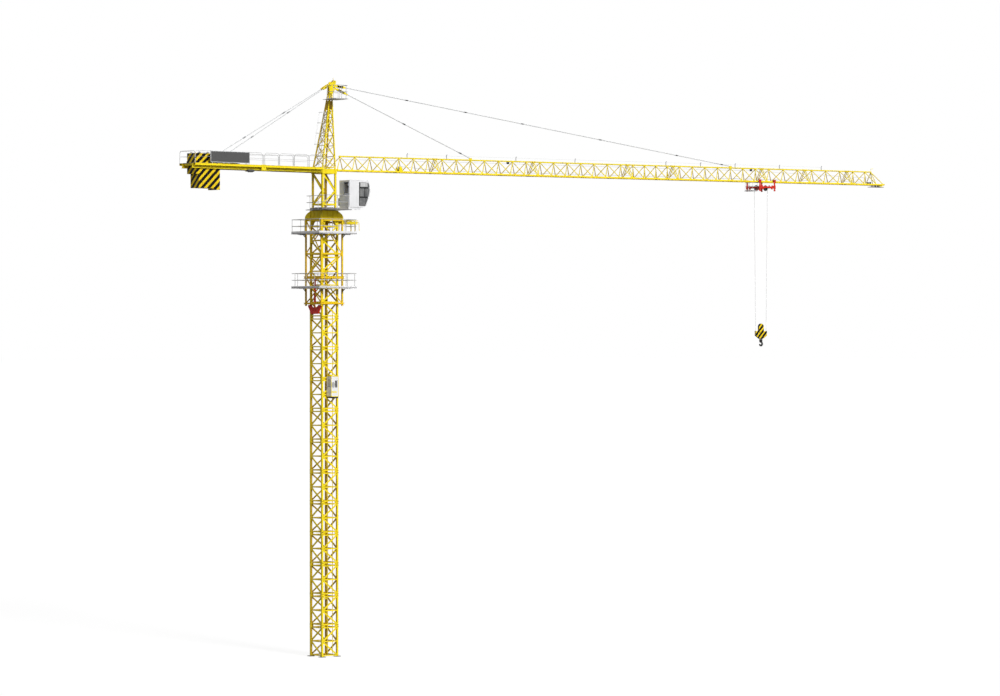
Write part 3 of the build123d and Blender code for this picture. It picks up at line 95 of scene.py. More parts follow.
def stepUp(tree, value, low, high):
    node = put(tree, "ShaderNodeMapRange", {"Value": value, "From Min": low, "From Max": high})
    node.interpolation_type = "SMOOTHSTEP"
    return node.outputs["Result"]


def objectPlace(tree):
    return put(tree, "ShaderNodeTexCoord").outputs["Object"]


def noise(tree, place, values):
    return put(tree, "ShaderNodeTexNoise", {"Vector": place, **values}).outputs[0]


def split(tree, vector):
    return put(tree, "ShaderNodeSeparateXYZ", {0: vector}).outputs


def bumped(tree, height, values):
    return put(tree, "ShaderNodeBump", {"Height": height, **values}).outputs[0]


def shaderGroup(name, inputs, outputs):
    tree = bpy.data.node_groups.new(name, "ShaderNodeTree")
    for label, (kind, value) in inputs.items():
        socket = tree.interface.new_socket(label, in_out="INPUT", socket_type="NodeSocket" + kind)
        socket.default_value = value
    for label, kind in outputs.items():
        tree.interface.new_socket(label, in_out="OUTPUT", socket_type="NodeSocket" + kind)
    return tree, tree.nodes.new("NodeGroupInput").outputs, tree.nodes.new("NodeGroupOutput")


weatherSettings = {
    "fade": {"Scale": 1.3, "Detail": 5.0, "Roughness": 0.6}, "fadeEdge": (0.4, 0.75),
    "fadeTint": (0.9, 0.9, 0.9, 1),
    "stretch": (11.0, 11.0, 0.9), "streak": {"Scale": 1.6, "Detail": 6.0}, "streakEdge": (0.52, 0.78),
    "streakTint": (0.42, 0.36, 0.28, 1), "grain": {"Scale": 42.0, "Detail": 4.0, "Roughness": 0.7},
    "chipEdge": (0.69, 0.73), "chipShare": 0.55, "fine": {"Scale": 160.0, "Detail": 2.0},
    # the next line sets painted shade on faces that look inwards: its edges and its brown tint
    "paintedShadeEdge": (0.15, 0.55), "paintedShadeTint": (0.5, 0.37, 0.25, 1),
    "dustUp": (0.5, 0.95), "dustPatch": (0.3, 0.7), "dustTint": (0.5, 0.46, 0.4, 1),
    "fineRough": 0.14, "dustRough": 0.8, "bump": {"Strength": 0.08, "Distance": 0.002},
}


# weather on paint: faded patches, rain streaks, dust on top faces, small chips,
# and painted shade on faces that look inwards, towards the line that Spread leaves out
def makeWeather(settings):
    inputs = {
        "Paint": ("Color", (0.8, 0.8, 0.8, 1)),
        "Chip": ("Color", (0.12, 0.06, 0.04, 1)),
        "Dust": ("Float", 0.2),
        "Streaks": ("Float", 0.25),
        "Gloss": ("Float", 0.4),
        # strength of the painted shade on faces that look inwards
        "Grime": ("Float", 0.0),
        "Spread": ("Vector", (1.0, 1.0, 0.0)),
    }
    outputs = {"Color": "Color", "Roughness": "Float", "Normal": "Vector"}
    tree, start, end = shaderGroup("weatheredPaint", inputs, outputs)
    place = objectPlace(tree)
    fade = noise(tree, place, settings["fade"])
    streakPlace = put(tree, "ShaderNodeMapping", {"Vector": place, "Scale": settings["stretch"]})
    streak = noise(tree, streakPlace.outputs[0], settings["streak"])
    grain = noise(tree, place, settings["grain"])
    fine = noise(tree, place, settings["fine"])
    fadeMask = stepUp(tree, fade, *settings["fadeEdge"])
    faded = blendColour(tree, fadeMask, start["Paint"], settings["fadeTint"], "MULTIPLY")
    streakMask = times(tree, stepUp(tree, streak, *settings["streakEdge"]), start["Streaks"])
    streaked = blendColour(tree, streakMask, faded, settings["streakTint"], "MULTIPLY")
    chipMask = times(tree, stepUp(tree, grain, *settings["chipEdge"]), settings["chipShare"])
    chipped = blendColour(tree, chipMask, streaked, start["Chip"])
    seen = put(tree, "ShaderNodeNewGeometry").outputs["Normal"]
    facing = put(tree, "ShaderNodeVectorTransform", {"Vector": seen}, vector_type="NORMAL",
                 convert_from="WORLD", convert_to="OBJECT").outputs[0]
    outward = put(tree, "ShaderNodeVectorMath", {0: place, 1: start["Spread"]}, operation="MULTIPLY")
    outward = put(tree, "ShaderNodeVectorMath", {0: outward.outputs[0]}, operation="NORMALIZE")
    along = put(tree, "ShaderNodeVectorMath", {0: outward.outputs[0], 1: facing}, operation="DOT_PRODUCT")
    inward = times(tree, along.outputs["Value"], -1.0)
    # painted shade: faces that look inwards are darkened towards a brown tint
    paintedShadeMask = times(tree, stepUp(tree, inward, *settings["paintedShadeEdge"]), start["Grime"])
    paintedShaded = blendColour(tree, paintedShadeMask, chipped, settings["paintedShadeTint"], "MULTIPLY")
    upward = stepUp(tree, split(tree, facing)[2], *settings["dustUp"])
    patch = times(tree, upward, stepUp(tree, fade, *settings["dustPatch"]))
    dustMask = times(tree, patch, start["Dust"])
    dusty = blendColour(tree, dustMask, paintedShaded, settings["dustTint"])
    rough = plus(tree, start["Gloss"], times(tree, fine, settings["fineRough"]))
    rough = plus(tree, rough, times(tree, dustMask, settings["dustRough"]))
    bumps = bumped(tree, fine, settings["bump"])
    wire(tree, end, {"Color": dusty, "Roughness": rough, "Normal": bumps})
    return tree


reliefSettings = {
    "bandEdge": (-0.03, 0.03), "fullTurn": 6.283, "halfTurn": 3.1416,
    "treadTurn": 45, "treadEdge": (0.35, 0.6), "treadBump": {"Strength": 0.5, "Distance": 0.004},
    "laySlant": 1.6, "layEdge": (-0.9, 0.6), "layBump": {"Strength": 0.6, "Distance": 0.003},
}


# slanting warning bands on upright faces
def makeBands(settings):
    inputs = {
        "Light": ("Color", (0.84, 0.6, 0.015, 1)),
        "Dark": ("Color", (0.006, 0.006, 0.007, 1)),
        "Band": ("Float", 0.3),
        "Slope": ("Float", 1.0),
        "Share": ("Float", 0.5),
    }
    tree, start, end = shaderGroup("slantedBands", inputs, {"Color": "Color"})
    x, y, z = split(tree, objectPlace(tree))
    run = times(tree, minus(tree, x, y), start["Slope"])
    phase = sums(tree, "DIVIDE", minus(tree, z, run), start["Band"])
    wave = sums(tree, "PINGPONG", phase, 1.0)
    mask = stepUp(tree, minus(tree, wave, start["Share"]), *settings["bandEdge"])
    wire(tree, end, {"Color": blendColour(tree, mask, start["Light"], start["Dark"])})
    return tree


# raised lozenges of a tread plate
def makeTread(settings):
    tree, start, end = shaderGroup("treadPlate", {"Pitch": ("Float", 20.0)},
                                   {"Mask": "Float", "Normal": "Vector"})
    turn = (0, 0, math.radians(settings["treadTurn"]))
    turnedPlace = put(tree, "ShaderNodeMapping", {"Vector": objectPlace(tree), "Rotation": turn})
    x, y, _ = split(tree, turnedPlace.outputs[0])
    across = sums(tree, "SINE", times(tree, x, times(tree, start["Pitch"], settings["fullTurn"])))
    down = sums(tree, "SINE", times(tree, y, times(tree, start["Pitch"], settings["halfTurn"])))
    lozenge = stepUp(tree, times(tree, across, down), *settings["treadEdge"])
    wire(tree, end, {"Mask": lozenge, "Normal": bumped(tree, lozenge, settings["treadBump"])})
    return tree


# twisted wires of a steel rope
def makeLay(settings):
    tree, start, end = shaderGroup("ropeLay", {"Pitch": ("Float", 30.0)},
                                   {"Mask": "Float", "Normal": "Vector"})
    x, y, z = split(tree, objectPlace(tree))
    slant = plus(tree, plus(tree, z, x), times(tree, y, settings["laySlant"]))
    wave = sums(tree, "SINE", times(tree, slant, times(tree, start["Pitch"], settings["fullTurn"])))
    mask = stepUp(tree, wave, *settings["layEdge"])
    wire(tree, end, {"Mask": mask, "Normal": bumped(tree, mask, settings["layBump"])})
    return tree


weather, bands = makeWeather(weatherSettings), makeBands(reliefSettings)
tread, lay = makeTread(reliefSettings), makeLay(reliefSettings)


def newMaterial(name):
    made = bpy.data.materials.new(name)
    made.use_nodes = True
    return made, made.node_tree, made.node_tree.nodes["Principled BSDF"]


# what a coat has unless it says otherwise
plainCoat = {"chip": (0.12, 0.06, 0.04), "grime": 0.0, "spread": (1.0, 1.0, 0.0), "metal": 0.0, "shine": 0.2,
             "ridgeShare": 0.3}


def paint(name, settings):
    made, tree, shader = newMaterial(name)
    values = {**plainCoat, **settings}
    coat = put(tree, "ShaderNodeGroup", node_tree=weather)
    wire(tree, coat, {"Paint": (*values["colour"], 1), "Chip": (*values["chip"], 1)})
    wire(tree, coat,
         {key.capitalize(): values[key] for key in ("dust", "streaks", "gloss", "grime", "spread")})
    wire(tree, shader, {"Metallic": values["metal"], "Specular IOR Level": values["shine"]})
    for plug, output in (("Base Color", "Color"), ("Roughness", "Roughness"), ("Normal", "Normal")):
        wire(tree, shader, {plug: coat.outputs[output]})
    if "band" in values:
        plugs = {key.capitalize(): values[key] for key in ("band", "slope", "share")}
        stripe = put(tree, "ShaderNodeGroup", node_tree=bands)
        wire(tree, stripe, plugs)
        wire(tree, coat, {"Paint": stripe.outputs["Color"]})
    for key, group in (("tread", tread), ("lay", lay)):
        if key in values:
            relief = put(tree, "ShaderNodeGroup", node_tree=group)
            wire(tree, relief, {"Pitch": values[key]})
            mask = times(tree, relief.outputs["Mask"], values["ridgeShare"])
            worn = blendColour(tree, mask, coat.outputs["Color"], (*values["ridge"], 1))
            wire(tree, shader, {"Normal": relief.outputs["Normal"], "Base Color": worn})
    return made


paneSettings = {
    "tint": (0.2, 0.205, 0.21), "film": (0.36, 0.36, 0.35), "clear": 0.45, "ior": 1.45,
    "smear": {"Scale": 3.0, "Detail": 6.0}, "filmEdge": (0.45, 0.8), "filmRough": 0.18, "cleanRough": 0.05,
}


def glassPane(name, settings):
    made, tree, shader = newMaterial(name)
    smear = noise(tree, objectPlace(tree), settings["smear"])
    film = stepUp(tree, smear, *settings["filmEdge"])
    colour = blendColour(tree, film, (*settings["tint"], 1), (*settings["film"], 1))
    rough = plus(tree, times(tree, film, settings["filmRough"]), settings["cleanRough"])
    wire(tree, shader, {"Base Color": colour, "Roughness": rough, "IOR": settings["ior"]})
    wire(tree, shader, {"Transmission Weight": settings["clear"]})
    return made


# coats of the record's slots, and the jib's own yellow
paints = {
    # in these yellow coats the value for faces looking inwards sets painted shade
    "yellow_paint": {"colour": (0.9, 0.71, 0.016), "dust": 0.08, "streaks": 0.3, "gloss": 0.36,
                     "grime": 0.85},
    "jibYellow": {"colour": (0.9, 0.72, 0.016), "dust": 0.08, "streaks": 0.25, "gloss": 0.36, "grime": 0.6,
                  "spread": (0.0, 1.0, 0.0)},
    "white_paint": {"colour": (0.8, 0.8, 0.81), "dust": 0.2, "streaks": 0.12, "gloss": 0.34,
                    "chip": (0.5, 0.49, 0.47)},
    "grey_paint": {"colour": (0.4, 0.4, 0.39), "dust": 0.2, "streaks": 0.25, "gloss": 0.42},
    "dark_paint": {"colour": (0.085, 0.085, 0.085), "dust": 0.3, "streaks": 0.2, "gloss": 0.5,
                   "chip": (0.3, 0.28, 0.25)},
    "red_paint": {"colour": (0.62, 0.03, 0.016), "dust": 0.15, "streaks": 0.3, "gloss": 0.38},
    "dark_steel": {"colour": (0.035, 0.035, 0.036), "dust": 0.15, "streaks": 0.2, "gloss": 0.4, "metal": 0.2,
                   "chip": (0.2, 0.1, 0.05)},
    "stripe_paint": {"colour": (0.9, 0.6, 0.02), "dust": 0.05, "streaks": 0.25, "gloss": 0.45, "shine": 0.08,
                     "band": 0.152, "slope": 0.95, "share": 0.45},
    "blue_paint": {"colour": (0.02, 0.08, 0.32), "dust": 0.15, "streaks": 0.2, "gloss": 0.36},
}
# further coats, for single pieces and nodes
coats = {
    "deckPlate": {"colour": (0.42, 0.42, 0.41), "dust": 0.3, "streaks": 0.2, "gloss": 0.5, "tread": 20.0,
                  "ridge": (0.6, 0.6, 0.58)},
    "zincCoat": {"colour": (0.55, 0.56, 0.57), "dust": 0.15, "streaks": 0.3, "gloss": 0.38, "metal": 0.25},
    "blockStripes": dict(paints["stripe_paint"], band=0.125, slope=1.0, share=0.42),
    "visorGrey": {"colour": (0.55, 0.55, 0.55), "dust": 0.1, "streaks": 0.2, "gloss": 0.3},
    "railWhite": {"colour": (0.5, 0.5, 0.5), "dust": 0.1, "streaks": 0.3, "gloss": 0.4},
    # an oranger, darker copy of the yellow paint: painted shade for the cage
    "cageShadedYellow": {"colour": (0.88, 0.61, 0.014), "dust": 0.08, "streaks": 0.35, "gloss": 0.36, "grime": 0.7},
    "rustBolt": {"colour": (0.26, 0.07, 0.03), "dust": 0.2, "streaks": 0.4, "gloss": 0.55, "metal": 0.3},
    "steelRope": {"colour": (0.5, 0.5, 0.5), "dust": 0.1, "streaks": 0.2, "gloss": 0.35, "metal": 0.7,
                  "lay": 28.0, "ridge": (0.6, 0.6, 0.6)},
    "rubber": {"colour": (0.02, 0.02, 0.021), "dust": 0.25, "streaks": 0.2, "gloss": 0.6,
               "chip": (0.05, 0.05, 0.05)},
    "cabGrey": dict(paints["white_paint"], colour=(0.7, 0.74, 0.82), streaks=0.05),
    "turnGrey": {"colour": (0.17, 0.17, 0.168), "dust": 0.25, "streaks": 0.3, "gloss": 0.45},
}
finish = {name: paint(name, settings) for name, settings in paints.items()}
finish["glass"] = glassPane("glass", paneSettings)
finish.update({name: paint(name, settings) for name, settings in coats.items()})
print("finishes made:", len(finish))

# the record's slot is the name of each node's imported material
for name, node in cadNodes.items():
    slotName = node.data.materials[0].name.split(".")[0] if node.data.materials else "yellow_paint"
    node.data.materials.clear()
    node.data.materials.append(finish[slotName])
    node["paintSlot"] = slotName
swaps = {
    "deckPlate": ("cage_platforms", "head_platform", "counter_jib_deck"),
    "zincCoat": ("head_ladder", "ties"),
    "turnGrey": ("turntable", "slewing_ring", "slewing_deck"),
    "white_paint": ("cab_frame",),
    "cabGrey": ("cab_rear_wall", "cab_door"),
    "dark_paint": ("blank_board", "trolley_basket"),
    # the cage frames take the painted-shade copy of the yellow
    "cageShadedYellow": ("cage_side_frames", "cage_cross_bracing"),
    "jibYellow": ("trolley_winch", "jib_top_chord", "jib_lower_chords", "jib_sides", "jib_floor_bracing",
                  "jib_nose", "counter_jib_frame", "tie_links"),
}
for key, names in swaps.items():
    for name in names:
        cadNodes[name].data.materials[0] = finish[key]
print("slots:", sorted({node["paintSlot"] for node in cadNodes.values()}))


def settle(piece, body, hides=()):
    scene.collection.objects.link(piece)
    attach(piece, body)
    if hides:
        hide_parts(*hides)
    return piece


# spots are (place, turn), or (place, turn, span) for bars
def spotMesh(name, spots):
    mesh = bpy.data.meshes.new(name)
    mesh.from_pydata([spot[0] for spot in spots], [], [])
    turns = mesh.attributes.new("turn", "FLOAT_VECTOR", "POINT")
    for n, spot in enumerate(spots):
        turns.data[n].vector = spot[1]
    if len(spots[0]) > 2:
        spans = mesh.attributes.new("span", "FLOAT", "POINT")
        for n, spot in enumerate(spots):
            spans.data[n].value = spot[2]
    return mesh


# a path that ends where it began becomes a ring
def pathMesh(name, paths):
    corners, edges = [], []
    for path in paths:
        first = len(corners)
        ring = tuple(path[0]) == tuple(path[-1]) and len(path) > 2
        points = path[:-1] if ring else path
        corners.extend(points)
        edges.extend((first + n, first + n + 1) for n in range(len(points) - 1))
        if ring:
            edges.append((first + len(points) - 1, first))
    mesh = bpy.data.meshes.new(name)
    mesh.from_pydata([tuple(c) for c in corners], edges, [])
    return mesh


def grow(name, mesh, tree, settings, coat):
    piece = bpy.data.objects.new(name, mesh)
    maker = piece.modifiers.new("maker", "NODES")
    maker.node_group = tree
    values = dict(settings, Material=finish[coat])
    for item in tree.interface.items_tree:
        if item.item_type == "SOCKET" and item.in_out == "INPUT" and item.name in values:
            maker[item.identifier] = values[item.name]
    scene.collection.objects.link(piece)
    view = bpy.context.evaluated_depsgraph_get()
    made = bpy.data.meshes.new_from_object(piece.evaluated_get(view))
    scene.collection.objects.unlink(piece)
    piece.modifiers.remove(maker)
    piece.data = made
    made.name = name
    bpy.data.meshes.remove(mesh)
    return piece


def geometryTree(name, inputs):
    tree = bpy.data.node_groups.new(name, "GeometryNodeTree")
    tree.interface.new_socket("Geometry", in_out="INPUT", socket_type="NodeSocketGeometry")
    for label, value in inputs.items():
        kind = "Int" if isinstance(value, int) else "Float"
        socket = tree.interface.new_socket(label, in_out="INPUT", socket_type="NodeSocket" + kind)
        socket.default_value = value
    tree.interface.new_socket("Material", in_out="INPUT", socket_type="NodeSocketMaterial")
    tree.interface.new_socket("Geometry", in_out="OUTPUT", socket_type="NodeSocketGeometry")
    return tree, tree.nodes.new("NodeGroupInput").outputs, tree.nodes.new("NodeGroupOutput")


def joined(tree, shapes):
    node = put(tree, "GeometryNodeJoinGeometry")
    for shape in shapes:
        tree.links.new(shape, node.inputs[0])
    return node.outputs[0]


def closeTree(tree, start, end, shapes):
    real = put(tree, "GeometryNodeRealizeInstances", {"Geometry": joined(tree, shapes)})
    coated = put(tree, "GeometryNodeSetMaterial",
                 {"Geometry": real.outputs[0], "Material": start["Material"]})
    wire(tree, end, {0: coated.outputs[0]})
    return tree


def vec(tree, x=0.0, y=0.0, z=0.0):
    return put(tree, "ShaderNodeCombineXYZ", {0: x, 1: y, 2: z}).outputs[0]


def moved(tree, shape, offset=(0, 0, 0), turn=(0, 0, 0)):
    return put(tree, "GeometryNodeTransform",
               {"Geometry": shape, "Translation": offset, "Rotation": turn}).outputs[0]


def disc(tree, radius, depth, sides=12):
    barrel = put(tree, "GeometryNodeMeshCylinder", {"Vertices": sides, "Radius": radius, "Depth": depth})
    return barrel.outputs["Mesh"]


def slabShape(tree, x, y, z):
    return put(tree, "GeometryNodeMeshCube", {"Size": vec(tree, x, y, z)}).outputs["Mesh"]


def oblong(tree, width, height):
    return put(tree, "GeometryNodeCurvePrimitiveQuadrilateral", {"Width": width, "Height": height}).outputs[0]


def circle(tree, radius, sides):
    return put(tree, "GeometryNodeCurvePrimitiveCircle", {"Resolution": sides, "Radius": radius}).outputs[0]


def swept(tree, curve, profile):
    body = put(tree, "GeometryNodeCurveToMesh", {"Curve": curve, "Profile Curve": profile, "Fill Caps": True})
    return body.outputs[0]


def tubeAlong(tree, curve, radius, sides=8):
    body = swept(tree, curve, circle(tree, radius, sides))
    return put(tree, "GeometryNodeSetShadeSmooth", {"Geometry": body}).outputs[0]


def straight(tree, first, last):
    return put(tree, "GeometryNodeCurvePrimitiveLine", {"Start": first, "End": last}).outputs[0]


def lifted(tree, curve, up):
    return put(tree, "GeometryNodeSetPosition", {"Geometry": curve, "Offset": vec(tree, z=up)}).outputs[0]


def rounded(tree, curve, radius):
    plugs = {"Curve": curve, "Radius": radius, "Count": 5, "Limit Radius": True}
    node = put(tree, "GeometryNodeFilletCurve", mode="POLY")
    return wire(tree, node, plugs).outputs[0]


def asCurve(tree, mesh):
    return put(tree, "GeometryNodeMeshToCurve", {0: mesh}).outputs[0]


def named(tree, label, kind):
    return put(tree, "GeometryNodeInputNamedAttribute", {"Name": label}, data_type=kind).outputs["Attribute"]


def onSpots(tree, points, shape, useTurn=True):
    node = put(tree, "GeometryNodeInstanceOnPoints", {"Points": points, "Instance": shape})
    if useTurn:
        wire(tree, node, {"Rotation": named(tree, "turn", "FLOAT_VECTOR")})
    return node.outputs[0]


def closeOnSpots(tree, start, end, shapes):
    return closeTree(tree, start, end, [onSpots(tree, start["Geometry"], joined(tree, shapes))])


railingShares = {"foot": 2.1, "footThick": 0.008, "kickThick": 0.004}


# handrail, knee rail, posts on foot plates and a kick strip, along a path on the deck
def makeRailingTree(shares):
    inputs = {"Height": 0.57, "Knee": 0.29, "Tube": 0.009, "Corner": 0.06, "Post Gap": 0.6, "Kick": 0.06}
    tree, start, end = geometryTree("railingRun", inputs)
    tube, corner, thick = start["Tube"], start["Corner"], shares["footThick"]
    path = asCurve(tree, start["Geometry"])
    bent = rounded(tree, path, corner)
    shapes = []
    for level in ("Height", "Knee"):
        raised = lifted(tree, path, minus(tree, start[level], tube))
        shapes.append(tubeAlong(tree, rounded(tree, raised, corner), tube))
    spaced = put(tree, "GeometryNodeResampleCurve", mode="LENGTH")
    wire(tree, spaced, {"Curve": bent, "Length": start["Post Gap"]})
    top = vec(tree, z=minus(tree, start["Height"], tube))
    post = tubeAlong(tree, straight(tree, (0, 0, 0), top), tube)
    foot = moved(tree, disc(tree, times(tree, tube, shares["foot"]), thick), (0, 0, thick / 2))
    shapes.append(onSpots(tree, spaced.outputs[0], joined(tree, [post, foot]), False))
    kick = lifted(tree, bent, times(tree, start["Kick"], 0.5))
    upright = put(tree, "GeometryNodeSetCurveNormal", {"Curve": kick}, mode="Z_UP").outputs[0]
    shapes.append(swept(tree, upright, oblong(tree, shares["kickThick"], start["Kick"])))
    return closeTree(tree, start, end, shapes)


# plain tube along a path, with its corners bent round
def makeTubeTree():
    tree, start, end = geometryTree("tubeRun", {"Tube": 0.01, "Corner": 0.03, "Sides": 8})
    bent = rounded(tree, asCurve(tree, start["Geometry"]), start["Corner"])
    return closeTree(tree, start, end, [tubeAlong(tree, bent, start["Tube"], start["Sides"])])


boltShares = {"washer": 1.35, "washerThick": 0.003, "tip": 0.5, "tipThick": 0.006}


# hexagon bolt heads on washers, pointing along each spot's turn
def makeBoltTree(shares):
    tree, start, end = geometryTree("boltSet", {"Radius": 0.01, "Height": 0.008})
    radius, height = start["Radius"], start["Height"]
    thick, tipThick = shares["washerThick"], shares["tipThick"]
    washer = moved(tree, disc(tree, times(tree, radius, shares["washer"]), thick, 14), (0, 0, thick / 2))
    middle = vec(tree, z=sums(tree, "MULTIPLY_ADD", height, 0.5, thick))
    head = moved(tree, disc(tree, radius, height, 6), middle)
    above = vec(tree, z=plus(tree, height, thick + tipThick / 2))
    tip = moved(tree, disc(tree, times(tree, radius, shares["tip"]), tipThick, 8), above)
    return closeOnSpots(tree, start, end, [washer, head, tip])


sleeveShares = {"lipFrom": 0.76}


# square sleeve with a lip at each end, round a chord or leg
def makeSleeveTree(shares):
    tree, start, end = geometryTree("sleeveSet",
                                    {"Width": 0.088, "Height": 0.13, "Lip": 0.006, "Corner": 0.012})
    half = times(tree, start["Height"], 0.5)
    width, lipFrom = start["Width"], shares["lipFrom"]
    wide = sums(tree, "MULTIPLY_ADD", start["Lip"], 2.0, width)
    shapes = []
    for across, low, high in ((width, -1.0, 1.0), (wide, -1.0, -lipFrom), (wide, lipFrom, 1.0)):
        line = straight(tree, vec(tree, z=times(tree, half, low)), vec(tree, z=times(tree, half, high)))
        shapes.append(swept(tree, line, rounded(tree, oblong(tree, across, across), start["Corner"])))
    return closeOnSpots(tree, start, end, shapes)


couplerShares = {"reach": 0.34, "pinLength": 2.8, "tail": 0.7, "tailTall": 1.25}


# two side plates joined by pins with heads, lying along the spot's X
def makeCouplerTree(shares):
    inputs = {"Length": 0.2, "Width": 0.05, "Gap": 0.034, "Plate": 0.01, "Pin": 0.014}
    tree, start, end = geometryTree("couplerSet", inputs)
    length, width, thick = start["Length"], start["Width"], start["Plate"]
    shift = times(tree, plus(tree, start["Gap"], thick), 0.5)
    reach = times(tree, length, shares["reach"])
    pinLength = sums(tree, "MULTIPLY_ADD", thick, shares["pinLength"], start["Gap"])
    tailLength, tailTall = times(tree, length, shares["tail"]), times(tree, width, shares["tailTall"])
    shapes = []
    for side in (-1.0, 1.0):
        for long, tall in ((length, width), (tailLength, tailTall)):
            plate = slabShape(tree, long, thick, tall)
            shapes.append(moved(tree, plate, vec(tree, y=times(tree, shift, side))))
        pin = disc(tree, start["Pin"], pinLength, 12)
        shapes.append(moved(tree, pin, vec(tree, x=times(tree, reach, side)), (math.pi / 2, 0, 0)))
    return closeOnSpots(tree, start, end, shapes)


sheaveShares = {"rim": 0.26, "core": 0.7, "ring": 0.56, "stud": 0.08, "studLength": 1.12}


# grooved wheel: core, two rims, hub and a ring of hub bolts, its axle along the spot's Z
def makeSheaveTree(shares):
    inputs = {"Radius": 0.07, "Width": 0.034, "Groove": 0.012, "Hub": 0.026, "Hub Width": 0.05, "Axle": 0.014,
              "Axle Length": 0.06}
    tree, start, end = geometryTree("sheaveSet", inputs)
    radius, width = start["Radius"], start["Width"]
    rimWidth = times(tree, width, shares["rim"])
    shift = times(tree, minus(tree, width, rimWidth), 0.5)
    shapes = [disc(tree, minus(tree, radius, start["Groove"]), times(tree, width, shares["core"]), 32)]
    for side in (-1.0, 1.0):
        shapes.append(moved(tree, disc(tree, radius, rimWidth, 32), vec(tree, z=times(tree, shift, side))))
    shapes.append(disc(tree, start["Hub"], start["Hub Width"], 20))
    shapes.append(disc(tree, start["Axle"], start["Axle Length"], 14))
    stud = disc(tree, times(tree, radius, shares["stud"]), times(tree, width, shares["studLength"]), 6)
    shapes.append(onSpots(tree, circle(tree, times(tree, radius, shares["ring"]), 6), stud, False))
    return closeOnSpots(tree, start, end, shapes)


# half hoops, open towards the spot's Y
def makeHoopTree():
    tree, start, end = geometryTree("hoopSet", {"Radius": 0.17, "Tube": 0.008, "Sweep": 3.5, "Begin": -0.18})
    arc = put(tree, "GeometryNodeCurveArc", {"Resolution": 20, "Radius": start["Radius"]})
    wire(tree, arc, {"Start Angle": start["Begin"], "Sweep Angle": start["Sweep"]})
    return closeOnSpots(tree, start, end, [tubeAlong(tree, arc.outputs[0], start["Tube"], 6)])


# rope laid in turns on a drum, its axis along the spot's Z
def makeCoilTree():
    tree, start, end = geometryTree("drumRope",
                                    {"Radius": 0.138, "Length": 0.25, "Turns": 15.0, "Rope": 0.008})
    spiral = put(tree, "GeometryNodeCurveSpiral", {"Resolution": 28, "Rotations": start["Turns"]})
    wire(tree, spiral,
         {"Start Radius": start["Radius"], "End Radius": start["Radius"], "Height": start["Length"]})
    turns = tubeAlong(tree, spiral.outputs[0], start["Rope"], 6)
    turns = moved(tree, turns, vec(tree, z=times(tree, start["Length"], -0.5)))
    return closeOnSpots(tree, start, end, [turns])


# thin cooling fins along the spot's Z
def makeFinTree():
    tree, start, end = geometryTree("finSet", {"Radius": 0.115, "Length": 0.26, "Count": 14, "Fin": 0.006})
    first, step = vec(tree, z=times(tree, start["Length"], -0.5)), vec(tree, z=start["Length"])
    line = put(tree, "GeometryNodeMeshLine", mode="END_POINTS")
    wire(tree, line, {"Count": start["Count"], "Start Location": first, "Offset": step})
    fin = disc(tree, start["Radius"], start["Fin"], 28)
    return closeOnSpots(tree, start, end, [onSpots(tree, line.outputs[0], fin, False)])


rollerShares = {"axle": 0.35, "axleLength": 5.0, "cheekTall": 1.3, "cheekWide": 1.3, "footLong": 1.7,
                "footWide": 1.9, "footThick": 0.008}


# roller between two cheeks on a foot plate, reaching out along the spot's Z, axle along its X
def makeRollerTree(shares):
    tree, start, end = geometryTree("rollerSet",
                                    {"Radius": 0.028, "Width": 0.05, "Reach": 0.05, "Cheek": 0.006})
    radius, width, thick, footThick = start["Radius"], start["Width"], start["Cheek"], shares["footThick"]
    outwards, flat = vec(tree, z=start["Reach"]), (0, math.pi / 2, 0)
    axleLength = sums(tree, "MULTIPLY_ADD", thick, shares["axleLength"], width)
    axle = disc(tree, times(tree, radius, shares["axle"]), axleLength, 10)
    shapes = [moved(tree, shape, outwards, flat) for shape in (disc(tree, radius, width, 18), axle)]
    tall, wide = times(tree, start["Reach"], shares["cheekTall"]), times(tree, radius, shares["cheekWide"])
    for side in (-1.0, 1.0):
        out = times(tree, sums(tree, "MULTIPLY_ADD", width, 0.5, thick), side)
        cheek = slabShape(tree, thick, wide, tall)
        shapes.append(moved(tree, cheek, vec(tree, x=out, z=times(tree, tall, 0.5))))
    footLong, footWide = times(tree, width, shares["footLong"]), times(tree, radius, shares["footWide"])
    shapes.append(moved(tree, slabShape(tree, footLong, footWide, footThick), (0, 0, footThick / 2)))
    return closeOnSpots(tree, start, end, shapes)


# angle bars: a flat outer leg and a lip along one edge, as long as each spot's span
def makeFlangeTree():
    tree, start, end = geometryTree("flangeBars", {"Width": 0.06, "Plate": 0.006, "Lip": 0.02})
    thick = start["Plate"]
    face = slabShape(tree, 1.0, thick, start["Width"])
    edge = times(tree, minus(tree, start["Width"], thick), 0.5)
    lip = slabShape(tree, 1.0, start["Lip"], thick)
    lip = moved(tree, lip, vec(tree, y=times(tree, start["Lip"], -0.5), z=edge))
    bars = put(tree, "GeometryNodeInstanceOnPoints", {"Points": start["Geometry"]})
    wire(tree, bars, {"Instance": joined(tree, [face, lip]), "Rotation": named(tree, "turn", "FLOAT_VECTOR")})
    wire(tree, bars, {"Scale": vec(tree, named(tree, "span", "FLOAT"), 1.0, 1.0)})
    return closeTree(tree, start, end, [bars.outputs[0]])


railingTree, tubeTree, boltTree = makeRailingTree(railingShares), makeTubeTree(), makeBoltTree(boltShares)
sleeveTree, couplerTree = makeSleeveTree(sleeveShares), makeCouplerTree(couplerShares)
sheaveTree, hoopTree, coilTree = makeSheaveTree(sheaveShares), makeHoopTree(), makeCoilTree()
finTree, rollerTree, flangeTree = makeFinTree(), makeRollerTree(rollerShares), makeFlangeTree()
print("trees built")


def aim(direction, axis="Z", up="Y"):
    return tuple(Vector(direction).to_track_quat(axis, up).to_euler())


